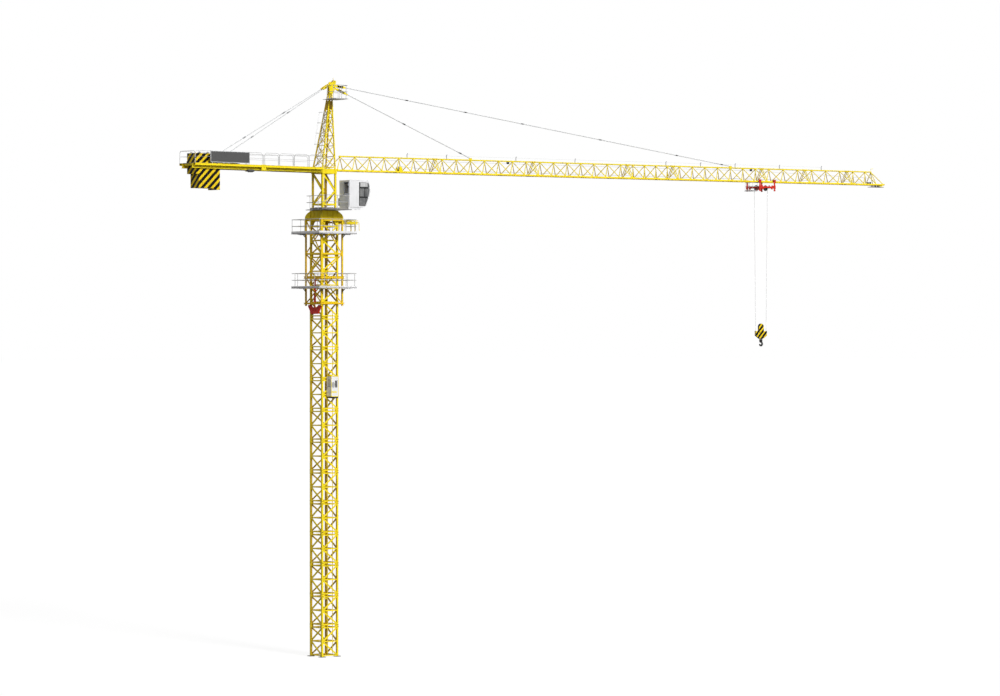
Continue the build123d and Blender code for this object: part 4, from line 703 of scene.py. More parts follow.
def tubes(name, body, slotName, coat, paths, radius, corner=0.03, sides=8, hides=()):
    settings = {"Tube": radius, "Corner": corner, "Sides": sides}
    return settle(grow(name, pathMesh(name, paths), tubeTree, settings, coat), body, hides)


def railing(name, body, coat, runs, settings, hides):
    return settle(grow(name, pathMesh(name, runs), railingTree, settings, coat), body, hides)


def spread(name, body, coat, tree, settings, spots, hides=()):
    return settle(grow(name, spotMesh(name, spots), tree, settings, coat), body, hides)


# how wide edges are softened
soft = {"sheet": 0.001, "thin": 0.002, "plate": 0.003, "bar": 0.004, "case": 0.005, "cover": 0.006,
        "cast": 0.01}


def softenEdges(shape, width):
    bmesh.ops.bevel(shape, geom=shape.edges[:], offset=width, segments=2, affect="EDGES", clamp_overlap=True)


def shapePiece(name, shape, body, coat, hides=()):
    mesh = bpy.data.meshes.new(name)
    shape.to_mesh(mesh)
    shape.free()
    mesh.materials.append(finish[coat])
    return settle(bpy.data.objects.new(name, mesh), body, hides)


# several boxes with softened edges in one mesh: (centre, size) or (centre, size, (axis, angle))
def boxes(name, body, coat, parts, soften, hides=()):
    shape = bmesh.new()
    for centre, size, *turns in parts:
        axis, angle = turns[0] if turns else ("X", 0)
        place = Matrix.Translation(centre) @ Matrix.Rotation(angle, 4, axis) @ Matrix.Diagonal((*size, 1))
        bmesh.ops.create_cube(shape, size=1.0, matrix=place)
    softenEdges(shape, soften)
    return shapePiece(name, shape, body, coat, hides)


# flat outlines pushed out to a thickness: (points, push), faces set outwards
def cutPlates(name, body, coat, parts, soften, hides=()):
    shape = bmesh.new()
    for points, push in parts:
        near = [shape.verts.new(p) for p in points]
        far = [shape.verts.new(Vector(p) + Vector(push)) for p in points]
        shape.faces.new(near)
        shape.faces.new(far[::-1])
        for n in range(len(points)):
            m = (n + 1) % len(points)
            shape.faces.new((near[n], far[n], far[m], near[m]))
    bmesh.ops.recalc_face_normals(shape, faces=shape.faces[:])
    if soften:
        softenEdges(shape, soften)
    return shapePiece(name, shape, body, coat, hides)


# ring turned from an outline of (radius, height), closed on itself
def turned(name, body, coat, middle, outline, sides=24):
    shape, rings = bmesh.new(), []
    x, y = middle[0], middle[1]
    for n in range(sides):
        turn = 2 * math.pi * n / sides
        rings.append([shape.verts.new((x + r * math.cos(turn), y + r * math.sin(turn), z))
                      for r, z in outline])
    for n in range(sides):
        here, there = rings[n], rings[(n + 1) % sides]
        for k in range(len(outline)):
            m = (k + 1) % len(outline)
            shape.faces.new((here[k], there[k], there[m], here[m]))
    bmesh.ops.recalc_face_normals(shape, faces=shape.faces[:])
    return shapePiece(name, shape, body, coat)


fourCorners = [(sx, sy) for sx in (-1, 1) for sy in (-1, 1)]


# tower: mast joints, bracing, support, cage, lift and climbing gear
mastSettings = {
    "leg": 0.3775, "section": 1.25, "joints": 13, "crossheadJoint": 11, "boltGap": 0.04,
    "sleeve": {"Width": 0.084, "Height": 0.15, "Lip": 0.005, "Corner": 0.012},
    "bolt": {"Radius": 0.01, "Height": 0.008},
}


def makeMastJoints(settings):
    leg, gap = settings["leg"], settings["boltGap"]
    out = leg + settings["sleeve"]["Width"] / 2
    sleeves, boltSpots = [], []
    for joint in range(1, settings["joints"] + 1):
        level = joint * settings["section"]
        for sideX, sideY in fourCorners:
            if joint != settings["crossheadJoint"] or sideX > 0:  # leaves room for the crosshead
                sleeves.append(((sideX * leg, sideY * leg, level), (0, 0, 0)))
            for across in (-0.5 * gap, 0.5 * gap):
                for z in (level - gap, level + gap):
                    boltSpots.append(((sideX * leg + across, sideY * out, z), aim((0, sideY, 0))))
                    if sideX > 0:
                        boltSpots.append(((out, sideY * leg + across, z), aim((1, 0, 0))))
    spread("mast_joint_sleeves", "tower", "yellow_paint", sleeveTree, settings["sleeve"],
           sleeves)
    spread("mast_joint_bolts", "tower", "rustBolt", boltTree, settings["bolt"], boltSpots)


# angle bar from (u, z) to (v, w) on the face that looks along -Y before the turn
def barOn(turn, u, z, v, w, face):
    first, last = turn @ Vector((u, -face, z)), turn @ Vector((v, -face, w))
    along = (last - first).normalized()
    out = turn @ Vector((0, -1, 0))
    axes = Matrix((along, out, along.cross(out))).transposed()
    return (tuple((first + last) / 2), tuple(axes.to_euler()), (last - first).length)


bracingSettings = {
    "sections": 14, "section": 1.25, "offset": 0.065, "clear": 0.337, "face": 0.3932, "gap": 0.03,
    "diagonal": {"Width": 0.061, "Plate": 0.006, "Lip": 0.03},
    "level": {"Width": 0.046, "Plate": 0.006, "Lip": 0.03},
}


def makeMastBracing(settings):
    diagonals, levels = [], []
    reach, gap, face = settings["clear"], settings["gap"], settings["face"]
    for n in range(settings["sections"]):
        base = n * settings["section"]
        low, middle = base + settings["offset"], base + settings["section"] / 2
        high = base + settings["section"] - settings["offset"]
        for side in (0, 90, 180, 270):
            turn = Matrix.Rotation(math.radians(side), 3, "Z")
            diagonals.append(barOn(turn, reach, low + gap, -reach, middle - gap, face))
            diagonals.append(barOn(turn, -reach, middle + gap, reach, high - gap, face))
            levels += [barOn(turn, -reach, z, reach, z, face) for z in (low, middle, high)]
    coat = "yellow_paint"
    spread("mast_diagonal_angles", "tower", coat, flangeTree, settings["diagonal"], diagonals)
    spread("mast_level_angles", "tower", coat, flangeTree, settings["level"], levels)


supportSettings = {
    "neckLow": 17.5, "base": 17.754, "top": 18.081, "neck": 0.4145, "wall": 0.09, "lap": 0.002,
    "arch": (0.27, 0.196), "drum": 0.4, "skin": 0.024, "gap": 0.02, "lid": (0.85, 0.02), "foot": (1.08, 0.04),
    "ribs": (-0.14, 0.14), "rib": (0.02, 0.03), "ribGap": 0.03, "proud": 0.008, "post": 0.05,
    "wing": 0.022, "wingReach": 0.555, "wingInset": 0.02, "wingTop": 0.03,
    "wingSteps": ((0.0, 0.07), (-0.03, 0.16), (-0.095, 0.25)),
}


def makeSupport(settings):
    low, base, top = settings["neckLow"], settings["base"], settings["top"]
    neck, wall, drum, skin = settings["neck"], settings["wall"], settings["drum"], settings["skin"]
    wide, tall = settings["arch"]
    angles = [math.radians(a) for a in range(0, 181, 15)]
    arch = [(-wide * math.cos(a), low + tall * math.sin(a)) for a in angles]

    def archedWall(half):
        return [(-half, low)] + arch + [(half, low), (half, base), (-half, base)]

    walls, inner = [], neck - wall + settings["lap"]
    for side in (-1, 1):
        walls.append(([(x, side * neck, z) for x, z in archedWall(neck)], (0, -side * wall, 0)))
        walls.append(([(side * neck, x, z) for x, z in archedWall(inner)], (-side * wall, 0, 0)))
    cutPlates("support_neck", "tower", "yellow_paint", walls, 0)
    (lid, lidThick), (foot, footThick) = settings["lid"], settings["foot"]
    middle, high, proud, post = (base + top) / 2, top - base, settings["proud"], settings["post"]
    thin, deep = settings["rib"]
    parts = [((0, 0, top - lidThick / 2), (lid, lid, lidThick))]
    parts.append(((0, 0, base + footThick / 2), (foot, foot, footThick)))
    for side in (-1, 1):
        inset = side * (drum - skin / 2)
        parts.append(((0, inset, middle), (2 * drum, skin, high - settings["gap"])))
        parts.append(((inset, 0, middle), (skin, 2 * drum, high - settings["gap"])))
        for rib in settings["ribs"]:
            parts.append(((rib, side * (drum + proud), middle), (thin, deep, high - settings["ribGap"])))
            parts.append(((side * (drum + proud), rib, middle), (deep, thin, high - settings["ribGap"])))
    corner = drum - proud
    parts += [((sx * corner, sy * corner, middle), (post, post, high - settings["gap"]))
              for sx, sy in fourCorners]
    boxes("support_drum", "tower", "yellow_paint", parts, soft["bar"], ("turntable_support",))
    wings, reach = [], settings["wingReach"]
    inset, head = drum - settings["wingInset"], top - settings["wingTop"]
    rim = [(inset, base), (reach, base)] + [(reach + out, base + up) for out, up in settings["wingSteps"]]
    rim += [(drum, head), (inset, head)]
    for sx, sy in fourCorners:
        across = Vector((-sy, sx, 0)).normalized() * settings["wing"]
        wings.append(([(sx * r - across.x, sy * r - across.y, z) for r, z in rim], tuple(across * 2)))
    cutPlates("support_wings", "tower", "yellow_paint", wings, soft["bar"])


cageSettings = {
    "levels": (17.157, 14.971), "half": 0.95, "gate": 0.24, "railLine": 0.941,
    "railing": {"Height": 0.57, "Knee": 0.3, "Tube": 0.011, "Corner": 0.03, "Post Gap": 0.62, "Kick": 0.012},
    "kick": ((17.157, -0.034, 0.082), (14.971, -0.05, 0.045)), "strip": 0.008, "stripGap": 0.01,
    "gateStrip": 0.09,
    "leg": 0.525, "face": 0.555, "reach": 0.93, "deck": 0.016, "bearer": (0.05, 0.04),
    "kneeDrop": 0.15, "kneeRise": 0.012, "kneeShare": 0.36, "kneeTube": 0.014,
    "belts": ((15.371, 0.105), (14.317, 0.06)), "belt": 0.016, "beltFace": 0.563, "beltLong": (1.16, 1.11),
    "lip": (0.044, 0.012), "lipFace": 0.577, "lipLong": (1.16, 1.198),
    "rollerLevels": (15.371, 16.33), "legLine": 0.3775, "beamFace": 0.51,
    "roller": {"Radius": 0.03, "Width": 0.055, "Reach": 0.064, "Cheek": 0.007},
    "boltLevels": (14.3, 14.34, 15.34, 15.4, 16.3, 16.36, 17.68, 17.72), "boltLine": 0.45, "boltFace": 0.54,
    "bareBelow": 14.4, "bolt": {"Radius": 0.011, "Height": 0.008},
}


def makeCageDecks(settings):
    top, low = settings["levels"]
    line, gate, thin, gap = settings["railLine"], settings["gate"], settings["strip"], settings["stripGap"]
    around = [(line, line), (-line, line), (-line, -line), (line, -line)]
    runs = [[(x, y, top) for x, y in [(line, gate)] + around + [(line, -gate)]]]
    runs.append([(x, y, low) for x, y in around + around[:1]])
    railing("cage_guard_rails", "tower", "railWhite", runs, settings["railing"],
            ("cage_railings",))
    strips, edge = [], settings["half"] - thin / 2
    for level, down, up in settings["kick"]:
        middle, tall = level + (down + up) / 2, up - down
        strips += [((0, side * edge, middle), (2 * edge + thin, thin, tall)) for side in (-1, 1)]
        strips.append(((-edge, 0, middle), (thin, 2 * edge - gap, tall)))
        strips += [((edge, side * (edge + gate) / 2, middle), (thin, edge - gate - gap, tall))
                   for side in (-1, 1)]
    strips.append(((edge, 0, low), (thin, 2 * gate, settings["gateStrip"])))
    boxes("cage_kick_strips", "tower", "white_paint", strips, soft["sheet"])
    leg, face, reach = settings["leg"], settings["face"], settings["reach"]
    braces, bearers, (wide, deep) = [], [], settings["bearer"]
    for level in settings["levels"]:
        under = level - settings["deck"]
        for sx, sy in fourCorners:
            sides = (((sx * face, sy * leg), (sx * reach, sy * leg)),
                     ((sx * leg, sy * face), (sx * leg, sy * reach)))
            for foot, out in sides:
                knee = [f + settings["kneeShare"] * (o - f) for f, o in zip(foot, out)]
                braces.append([(*foot, under - settings["kneeDrop"]), (*knee, under - settings["kneeRise"])])
                middle = [(f + o) / 2 for f, o in zip(foot, out)]
                span = [max(wide, abs(o - f)) for f, o in zip(foot, out)]
                bearers.append(((*middle, under - deep / 2), (*span, deep)))
    tubes("cage_knee_braces", "tower", "dark_paint", "dark_paint", braces, settings["kneeTube"])
    boxes("cage_platform_bearers", "tower", "dark_paint", bearers, soft["bar"])


def makeCageFrame(settings):
    belts, thin, face, lipFace = [], settings["belt"], settings["beltFace"], settings["lipFace"]
    (longX, longY), (lipX, lipY), (wide, flat) = settings["beltLong"], settings["lipLong"], settings["lip"]
    for level, tall in settings["belts"]:
        rise = tall / 2 - flat / 2
        for side in (-1, 1):
            belts.append(((0, side * face, level), (longX, thin, tall)))
            belts.append(((side * face, 0, level), (thin, longY, tall)))
            belts += [((0, side * lipFace, level + up * rise), (lipX, wide, flat)) for up in (-1, 1)]
            belts += [((side * lipFace, 0, level + up * rise), (wide, lipY, flat)) for up in (-1, 1)]
    # the belt beams take the painted-shade copy of the yellow
    boxes("cage_belt_beams", "tower", "cageShadedYellow", belts, soft["plate"])
    rollers, studs = [], []
    leg, beam = settings["legLine"], settings["beamFace"]
    for level in settings["rollerLevels"]:
        for sx, sy in fourCorners:
            rollers.append(((sx * leg, sy * beam, level), aim((0, -sy, 0))))
            rollers.append(((sx * beam, sy * leg, level), aim((-sx, 0, 0))))
    spread("cage_guide_rollers", "tower", "dark_steel", rollerTree, settings["roller"], rollers)
    line, face = settings["boltLine"], settings["boltFace"]
    for level in settings["boltLevels"]:
        for side in (-1, 1):
            for along in (-line, line):
                studs.append(((along, side * face, level), aim((0, side, 0))))
                if side > 0 or level >= settings["bareBelow"]:  # none behind the crosshead
                    studs.append(((side * face, along, level), aim((side, 0, 0))))
    spread("cage_beam_bolts", "tower", "rustBolt", boltTree, settings["bolt"], studs)


loadingSettings = {
    "y": 0.15, "low": 17.58, "drop": 0.32, "trucks": (0.92, 1.3), "truckIn": 0.025, "truckUp": 0.055,
    "axle": 0.012,
    "wheel": {"Radius": 0.034, "Width": 0.02, "Groove": 0.006, "Hub": 0.014, "Hub Width": 0.03, "Axle": 0.008,
              "Axle Length": 0.04},
    "flange": (1.06, (1.06, 0.062, 0.024)), "flangeRise": (-0.018, 0.122),
    "ribs": (0.62, 0.16, 6), "ribRise": 0.1, "rib": (0.014, 0.05, 0.03),
    "dropper": (1.46, -0.01), "stay": ((1.4, 0.1), (1.66, 0.06), (1.68, -0.3)), "tube": (0.011, 0.04),
    "hangers": (0.875, 1.5),
    "hook": ((0.0, 0.02), (0.0, -0.01), (0.03, -0.045), (0.0, -0.075), (-0.03, -0.05)),
    "hookTube": (0.009, 0.025),
}


def makeLoadingFittings(settings):
    low, y, drop = settings["low"], settings["y"], settings["drop"]
    inner, up = y - settings["truckIn"], low + settings["truckUp"]
    wheels = [((x, side * inner, up), aim((0, -side, 0), "Z", "X")) for x in settings["trucks"]
              for side in (-1, 1)]
    spread("loading_trolley_wheels", "tower", "dark_steel", sheaveTree, settings["wheel"],
           wheels)
    axles = [[(x, -inner, up), (x, inner, up)] for x in settings["trucks"]]
    tubes("loading_trolley_axles", "tower", "dark_steel", "dark_steel", axles, settings["axle"])
    flanges, droppers = [], []
    middle, size = settings["flange"]
    first, step, count = settings["ribs"]
    post, postTop = settings["dropper"]
    for side in (-1, 1):
        flanges += [((middle, side * y, low + rise), size) for rise in settings["flangeRise"]]
        ribs = [(first + n * step, side * y, low + settings["ribRise"]) for n in range(count)]
        flanges += [(spot, settings["rib"]) for spot in ribs]
        droppers.append([(post, side * y, low + postTop), (post, side * y, low - drop)])
        droppers.append([(x, side * y, low + rise) for x, rise in settings["stay"]])
    boxes("loading_rail_flanges", "tower", "yellow_paint", flanges, soft["plate"])
    tubes("loading_droppers", "tower", "yellow_paint", "yellow_paint", droppers, *settings["tube"])
    hooks = [[(x + out, y, low - drop + rise) for out, rise in settings["hook"]] for x in settings["hangers"]]
    tubes("loading_hooks", "tower", "dark_steel", "dark_steel", hooks, *settings["hookTube"])


liftSettings = {
    "brackets": (0.62, 2.37, 4.27, 6.2, 8.1, 10.0, 11.94, 13.4), "arm": ((0.225, -0.4), (0.17, 0.01, 0.03)),
    "cleat": ((0.3, -0.397), (0.02, 0.02, 0.085)), "stud": (0.155, -0.406), "studGap": 0.014,
    "bolt": {"Radius": 0.006, "Height": 0.005},
    "railX": 0.12, "web": (-0.412, 0.008, 0.027), "flange": (-0.398, 0.022, 0.005),
}


def makeLiftRails(settings):
    arms, studs, rails = [], [], []
    studX, studY = settings["stud"]
    for level in settings["brackets"]:
        for side in (-1, 1):
            for key in ("arm", "cleat"):
                (x, y), size = settings[key]
                arms.append(((side * x, y, level), size))
            for up in (-settings["studGap"], settings["studGap"]):
                studs.append(((side * studX, studY, level + up), aim((0, -1, 0))))
    boxes("lift_rail_brackets", "tower", "yellow_paint", arms, soft["thin"])
    foot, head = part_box("lift_rails")
    middle, tall = (foot[2] + head[2]) / 2, head[2] - foot[2]
    for side in (-1, 1):
        for y, wide, deep in (settings["web"], settings["flange"]):
            rails.append(((side * settings["railX"], y, middle), (wide, deep, tall)))
    boxes("lift_guide_rails", "tower", "yellow_paint", rails, soft["sheet"], ("lift_rails",))
    spread("lift_rail_bolts", "tower", "dark_steel", boltTree, settings["bolt"], studs)


carSettings = {
    "face": -0.7315, "low": 10.54, "high": 11.38, "half": 0.185, "centre": 0.15,
    "sill": (0.02, 0.31, 0.02), "sillDrop": 0.004, "foot": (0.02, 0.31, 0.024), "footUp": 0.01,
    "edgeIn": 0.006,
    "post": (0.022, 0.014), "postIn": 0.008, "rail": (0.014, 0.024), "trimIn": 0.002,
    "slotOut": 0.002, "stripOut": 0.001, "sheetIn": 0.005, "ovalOut": 0.005,
    "band": ((-0.03, 0.19), (0.25, 0.012, 0.055)), "slot": ((0.056, 0.095), (0.082, 0.008, 0.28)),
    "pan": (0.02, 0.28, 0.07), "panDrop": 0.025, "strip": ((0.14, 0.11), (0.045, 0.008, 0.3)),
    "sidePanel": (0.008, 0.19, 0.27), "windowUp": 0.15, "sheet": (0.186, 0.008, 0.266),
    "frame": ((0.096, (0.012, 0.006, 0.284)), (0.136, (0.18, 0.006, 0.012))),
    "oval": ((-0.086, 0.06), (0.083, 0.12)), "ovalThick": 0.008,
    "driveX": -0.11, "drive": ((0.018, (0.11, 0.14, 0.05)), (0.046, (0.08, 0.1, 0.02))),
    "grab": ((-0.002, 0.06), (0.02, 0.06), (0.02, 0.24), (-0.002, 0.24)), "grabUp": 0.42,
    "grabTube": (0.006, 0.012),
}


def makeLiftCar(settings):
    face, half, low, high = settings["face"], settings["half"], settings["low"], settings["high"]
    trim, middle, centre = [], (low + high) / 2, face + settings["centre"]
    edge, front, (deep, flat) = half - settings["edgeIn"], face + settings["trimIn"], settings["rail"]
    for side in (-1, 1):
        trim.append(((side * edge, centre, high - settings["sillDrop"]), settings["sill"]))
        trim.append(((side * edge, centre, low + settings["footUp"]), settings["foot"]))
        trim.append(((side * (half - settings["postIn"]), front, middle), (*settings["post"], high - low)))
    for z in (high - flat / 2, low + flat / 2):
        trim.append(((0, front, z), (2 * half, deep, flat)))
    (x, up), size = settings["band"]
    trim.append(((x, front, low + up), size))
    boxes("lift_car_edges", "lift_car", "yellow_paint", trim, soft["plate"])
    (x, up), size = settings["slot"]
    inset, panDeep, panTall = settings["pan"]
    dark = [((x, face - settings["slotOut"], middle + up), size)]
    dark.append(((0, centre, low - settings["panDrop"]), (2 * half - inset, panDeep, panTall)))
    boxes("lift_car_skirt", "lift_car", "rubber", dark, soft["thin"])
    (x, up), size = settings["strip"]
    window = middle + settings["windowUp"]
    panels = [((x, face - settings["stripOut"], middle + up), size)]
    panels.append(((-edge, centre, window), settings["sidePanel"]))
    boxes("lift_car_panels", "lift_car", "visorGrey", panels, soft["thin"])
    sheet = [((0, face + settings["sheetIn"], window), settings["sheet"])]  # closes the front window
    (jamb, jambSize), (sill, sillSize) = settings["frame"]
    for side in (-1, 1):
        sheet.append(((side * jamb, face, window), jambSize))
        sheet.append(((0, face, window + side * sill), sillSize))
    boxes("lift_car_front_sheet", "lift_car", "white_paint", sheet, soft["sheet"])
    (x, up), (wide, tall) = settings["oval"]
    turns = [math.radians(a) for a in range(0, 360, 15)]
    y, z = face - settings["ovalOut"], middle + up
    oval = [(x + wide * math.cos(a), y, z + tall * math.sin(a)) for a in turns]
    push = (0, settings["ovalThick"], 0)
    cutPlates("lift_car_oval", "lift_car", "grey_paint", [(oval, push)], soft["sheet"])
    drive = [((settings["driveX"], centre, high + up), size) for up, size in settings["drive"]]
    boxes("lift_drive_case", "lift_car", "yellow_paint", drive, soft["cover"])
    grip = low + settings["grabUp"]
    grabs = [[(side * (half + out), face + y, grip) for out, y in settings["grab"]] for side in (-1, 1)]
    tubes("lift_car_grab_rails", "lift_car", "dark_paint", "rubber", grabs, *settings["grabTube"])


climbSettings = {
    "face": -0.4903, "low": 13.89, "high": 14.256, "thick": 0.012, "footRib": (0.44, 0.024),
    "midRib": (-0.1, 0.24, 0.02),
    "arm": (0.35, -0.03, 0.14, 0.05), "slant": (0.32, -0.2, 0.02, 0.36), "slantTurn": -0.6,
    "stem": (0.09, -0.23, 0.016, 0.24),
    "ram": (-0.46225, 14.34, 15.296), "barrel": (0.0385, 0.044, 0.047),
    "collars": ((0.0, 0.045), (0.47, 0.5), (0.9, 0.956)),
}


def makeClimbingFittings(settings):
    x, low, high, thick = settings["face"], settings["low"], settings["high"], settings["thick"]
    wide, tall = settings["footRib"]
    ribs = [((x, 0, low + tall / 2), (thick, wide, tall))]
    up, wide, tall = settings["midRib"]
    ribs.append(((x, 0, high + up), (thick, wide, tall)))
    for side in (-1, 1):
        for key in ("arm", "slant", "stem"):
            y, up, wide, tall = settings[key]
            lean = (("X", side * settings["slantTurn"]),) if key == "slant" else ()
            ribs.append(((x, side * y, high + up), (thick, wide, tall), *lean))
    boxes("crosshead_ribs", "climbing_crosshead", "red_paint", ribs, soft["plate"])
    ram, foot, head = settings["ram"]
    bore, barrel, collar = settings["barrel"]
    outline = []
    for first, last in settings["collars"]:  # up the outside, collar by collar
        outline += [(barrel, foot + first), (collar, foot + first), (collar, foot + last),
                    (barrel, foot + last)]
    outline = [(bore, foot)] + outline[1:-1] + [(bore, head)]
    turned("cylinder_barrel", "tower", "red_paint", (ram, 0), outline)


makeMastJoints(mastSettings)
makeMastBracing(bracingSettings)
makeSupport(supportSettings)
makeCageDecks(cageSettings)
makeCageFrame(cageSettings)
makeLoadingFittings(loadingSettings)
makeLiftRails(liftSettings)
makeLiftCar(carSettings)
makeClimbingFittings(climbSettings)
print("tower dressed")


# turntable and head
slewSettings = {
    "deck": 18.11, "rail": ((0.321, -1.216), (-0.711, -1.216), (-0.711, 0.281), (-0.4, 0.281)),
    "railing": {"Height": 0.57, "Knee": 0.3, "Tube": 0.01, "Corner": 0.09, "Post Gap": 0.5, "Kick": 0.008},
    "ring": (0.36, 18.2), "ringBolts": 36, "bolt": {"Radius": 0.011, "Height": 0.01},
    "half": 0.32, "clear": 0.29, "face": 0.338, "legFace": 0.353, "levels": (18.2, 18.33, 18.886, 19.572),
    "gaps": (0.04, 0.03), "legGaps": (0.01, 0.004),
    "brace": {"Width": 0.068, "Plate": 0.006, "Lip": 0.02},
    "leg": {"Width": 0.086, "Plate": 0.006, "Lip": 0.004},
}


def makeSlewFittings(settings):
    run = [[(x, y, settings["deck"]) for x, y in settings["rail"]]]
    hidden = ("slewing_railing",)
    railing("deck_guard_rail", "upperworks", "railWhite", run, settings["railing"], hidden)
    spots, (radius, level) = [], settings["ring"]
    for n in range(settings["ringBolts"]):
        turn = 2 * math.pi * n / settings["ringBolts"]
        spots.append(((radius * math.cos(turn), radius * math.sin(turn), level), (0, 0, turn)))
    spread("turntable_bolts", "upperworks", "dark_steel", boltTree, settings["bolt"], spots)
    half, reach, face = settings["half"], settings["clear"], settings["face"]
    foot, low, middle, head = settings["levels"]
    (first, gap), (footGap, headGap) = settings["gaps"], settings["legGaps"]
    runs = [(-reach, low, reach, low), (-reach, low + first, reach, middle - gap)]
    runs.append((reach, middle + gap, -reach, head - gap))
    braces, legs = [], []
    for side, flip in ((0, 1), (180, -1), (270, 1), (90, -1)):
        turn = Matrix.Rotation(math.radians(side), 3, "Z")
        braces += [barOn(turn, flip * u, z, flip * v, w, face) for u, z, v, w in runs]
        legs += [barOn(turn, x, foot + footGap, x, head - headGap, settings["legFace"])
                 for x in (-half, half)]
    coat = "yellow_paint"
    spread("slew_brace_angles", "upperworks", coat, flangeTree, settings["brace"], braces)
    spread("slew_leg_angles", "upperworks", coat, flangeTree, settings["leg"], legs)


headSettings = {
    "levels": (19.775, 22.85), "rearX": (-0.32, 0.244), "frontX": (0.32, 0.348), "halfY": (0.32, 0.052),
    "deck": 22.613, "rails": (((0.069, -0.11), (0.069, -0.671), (0.711, -0.671), (0.711, -0.11)),
                              ((0.711, 0.0), (0.711, 0.161), (0.45, 0.161))),
    "railing": {"Height": 0.56, "Knee": 0.3, "Tube": 0.009, "Corner": 0.05, "Post Gap": 0.42, "Kick": 0.02},
    "hoopLevels": (20.77, 21.22, 21.64, 22.07), "hoopOut": 0.15, "strapTurns": (-1.0, 0.0, 1.0),
    "strap": 0.002,
    "hoop": {"Radius": 0.175, "Tube": 0.007, "Sweep": 3.9, "Begin": -0.38},
    "pins": ((0.44, 23.188), (0.44, 23.112), (0.468, 23.328)), "pinFace": 0.062,
    "pin": {"Radius": 0.02, "Height": 0.012},
    "gussets": (19.9, 0.45, 7), "gussetFace": 0.026, "gussetBolt": {"Radius": 0.009, "Height": 0.006},
}


# the head tapers: where one of its lines is at a level
def headAt(key, level):
    low, high = headSettings["levels"]
    first, last = headSettings[key]
    return first + (level - low) / (high - low) * (last - first)


def makeHeadFittings(settings):
    runs = [[(x, y, settings["deck"]) for x, y in rail] for rail in settings["rails"]]
    railing("head_guard_rail", "upperworks", "railWhite", runs, settings["railing"],
            ("head_railing",))
    hoops, straps = [], [[] for turn in settings["strapTurns"]]
    radius = settings["hoop"]["Radius"]
    for level in settings["hoopLevels"]:
        x = headAt("rearX", level) - settings["hoopOut"]
        hoops.append(((x, 0, level), (0, 0, math.pi / 2)))
        for strap, turn in zip(straps, settings["strapTurns"]):
            strap.append((x - radius * math.cos(turn), radius * math.sin(turn), level))
    spread("head_ladder_hoops", "upperworks", "zincCoat", hoopTree, settings["hoop"], hoops)
    tubes("head_ladder_straps", "upperworks", "grey_paint", "zincCoat", straps, settings["strap"], sides=5)
    pins = [((x, side * settings["pinFace"], z), aim((0, side, 0))) for x, z in settings["pins"]
            for side in (-1, 1)]
    spread("head_cap_pins", "upperworks", "dark_steel", boltTree, settings["pin"], pins)
    gussetBolts, (first, step, count) = [], settings["gussets"]
    for n in range(count):
        level = first + n * step
        out = headAt("halfY", level) + settings["gussetFace"]
        for side in (-1, 1):
            for key in ("rearX", "frontX"):
                gussetBolts.append(((headAt(key, level), side * out, level), aim((0, side, 0))))
    spread("head_gusset_bolts", "upperworks", "rustBolt", boltTree, settings["gussetBolt"],
           gussetBolts)


makeSlewFittings(slewSettings)
makeHeadFittings(headSettings)
print("turntable and head dressed")


# jib and ties, in places along the jib, across it and up from its lower chords
jibSettings = {
    "heel": (0.43, 0.0, 19.73), "incline": 0.458, "height": 0.58, "half": 0.345,
    "bays": ((5.306, 7), (5.306, 7), (5.306, 7), (2.653, 4), (5.306, 7), (2.653, 3), (2.653, 3), (1.54, 2)),
    "lace": (0.042, 0.6409, 0.018), "laceGap": 0.01, "tip": 0.42, "boom": (0.34, 0.03),
    "splices": (5.306, 10.612, 15.918, 18.571, 23.877, 26.53, 29.183),
    "sleeve": {"Width": 0.066, "Height": 0.24, "Lip": 0.004, "Corner": 0.012},
    "lugs": ((-0.036, 0.0, (0.24, 0.014, 0.05)), (0.0, 0.033, (0.22, 0.044, 0.012))),
    "pinSteps": (-0.06, 0.06), "pinIn": 0.043, "pinOut": 0.034, "pin": {"Radius": 0.013, "Height": 0.012},
}
jibTilt = ("Y", -math.radians(jibSettings["incline"]))
acrossJib = aim((0, 1, 0), "Z", "X")


def onJib(s, y, h):
    slope = math.radians(jibSettings["incline"])
    x, _, z = jibSettings["heel"]
    return (x + s * math.cos(slope) - h * math.sin(slope), y, z + s * math.sin(slope) + h * math.cos(slope))


# round lacing up both sides, in the line of the bracing, and the round top boom
def makeJibLacing(settings):
    low, high, radius = settings["lace"]
    gap, top = settings["laceGap"], settings["height"]
    slant = math.hypot(settings["half"], top)

    def onSide(s, up, side):
        return onJib(s, side * settings["half"] * (1 - up / slant), top * up / slant)

    laces, start = [], 0.0
    for length, bays in settings["bays"]:
        step = length / bays
        for n in range(bays):
            s = start + n * step
            zigzag = ((s + gap, low), (s + step / 2, high), (s + step - gap, low))
            laces += [[onSide(along, up, side) for along, up in zigzag] for side in (-1, 1)]
        start += length
    laces += [[onSide(start, high, side), onSide(start + settings["tip"], low, side)] for side in (-1, 1)]
    tubes("jib_lacing", "upperworks", "yellow_paint", "jibYellow", laces, radius, 0.0)
    first, thick = settings["boom"]
    boom = [[onJib(first, 0, top), onJib(start, 0, top)]]
    tubes("jib_top_boom", "upperworks", "yellow_paint", "jibYellow", boom, thick, 0.0, 16)


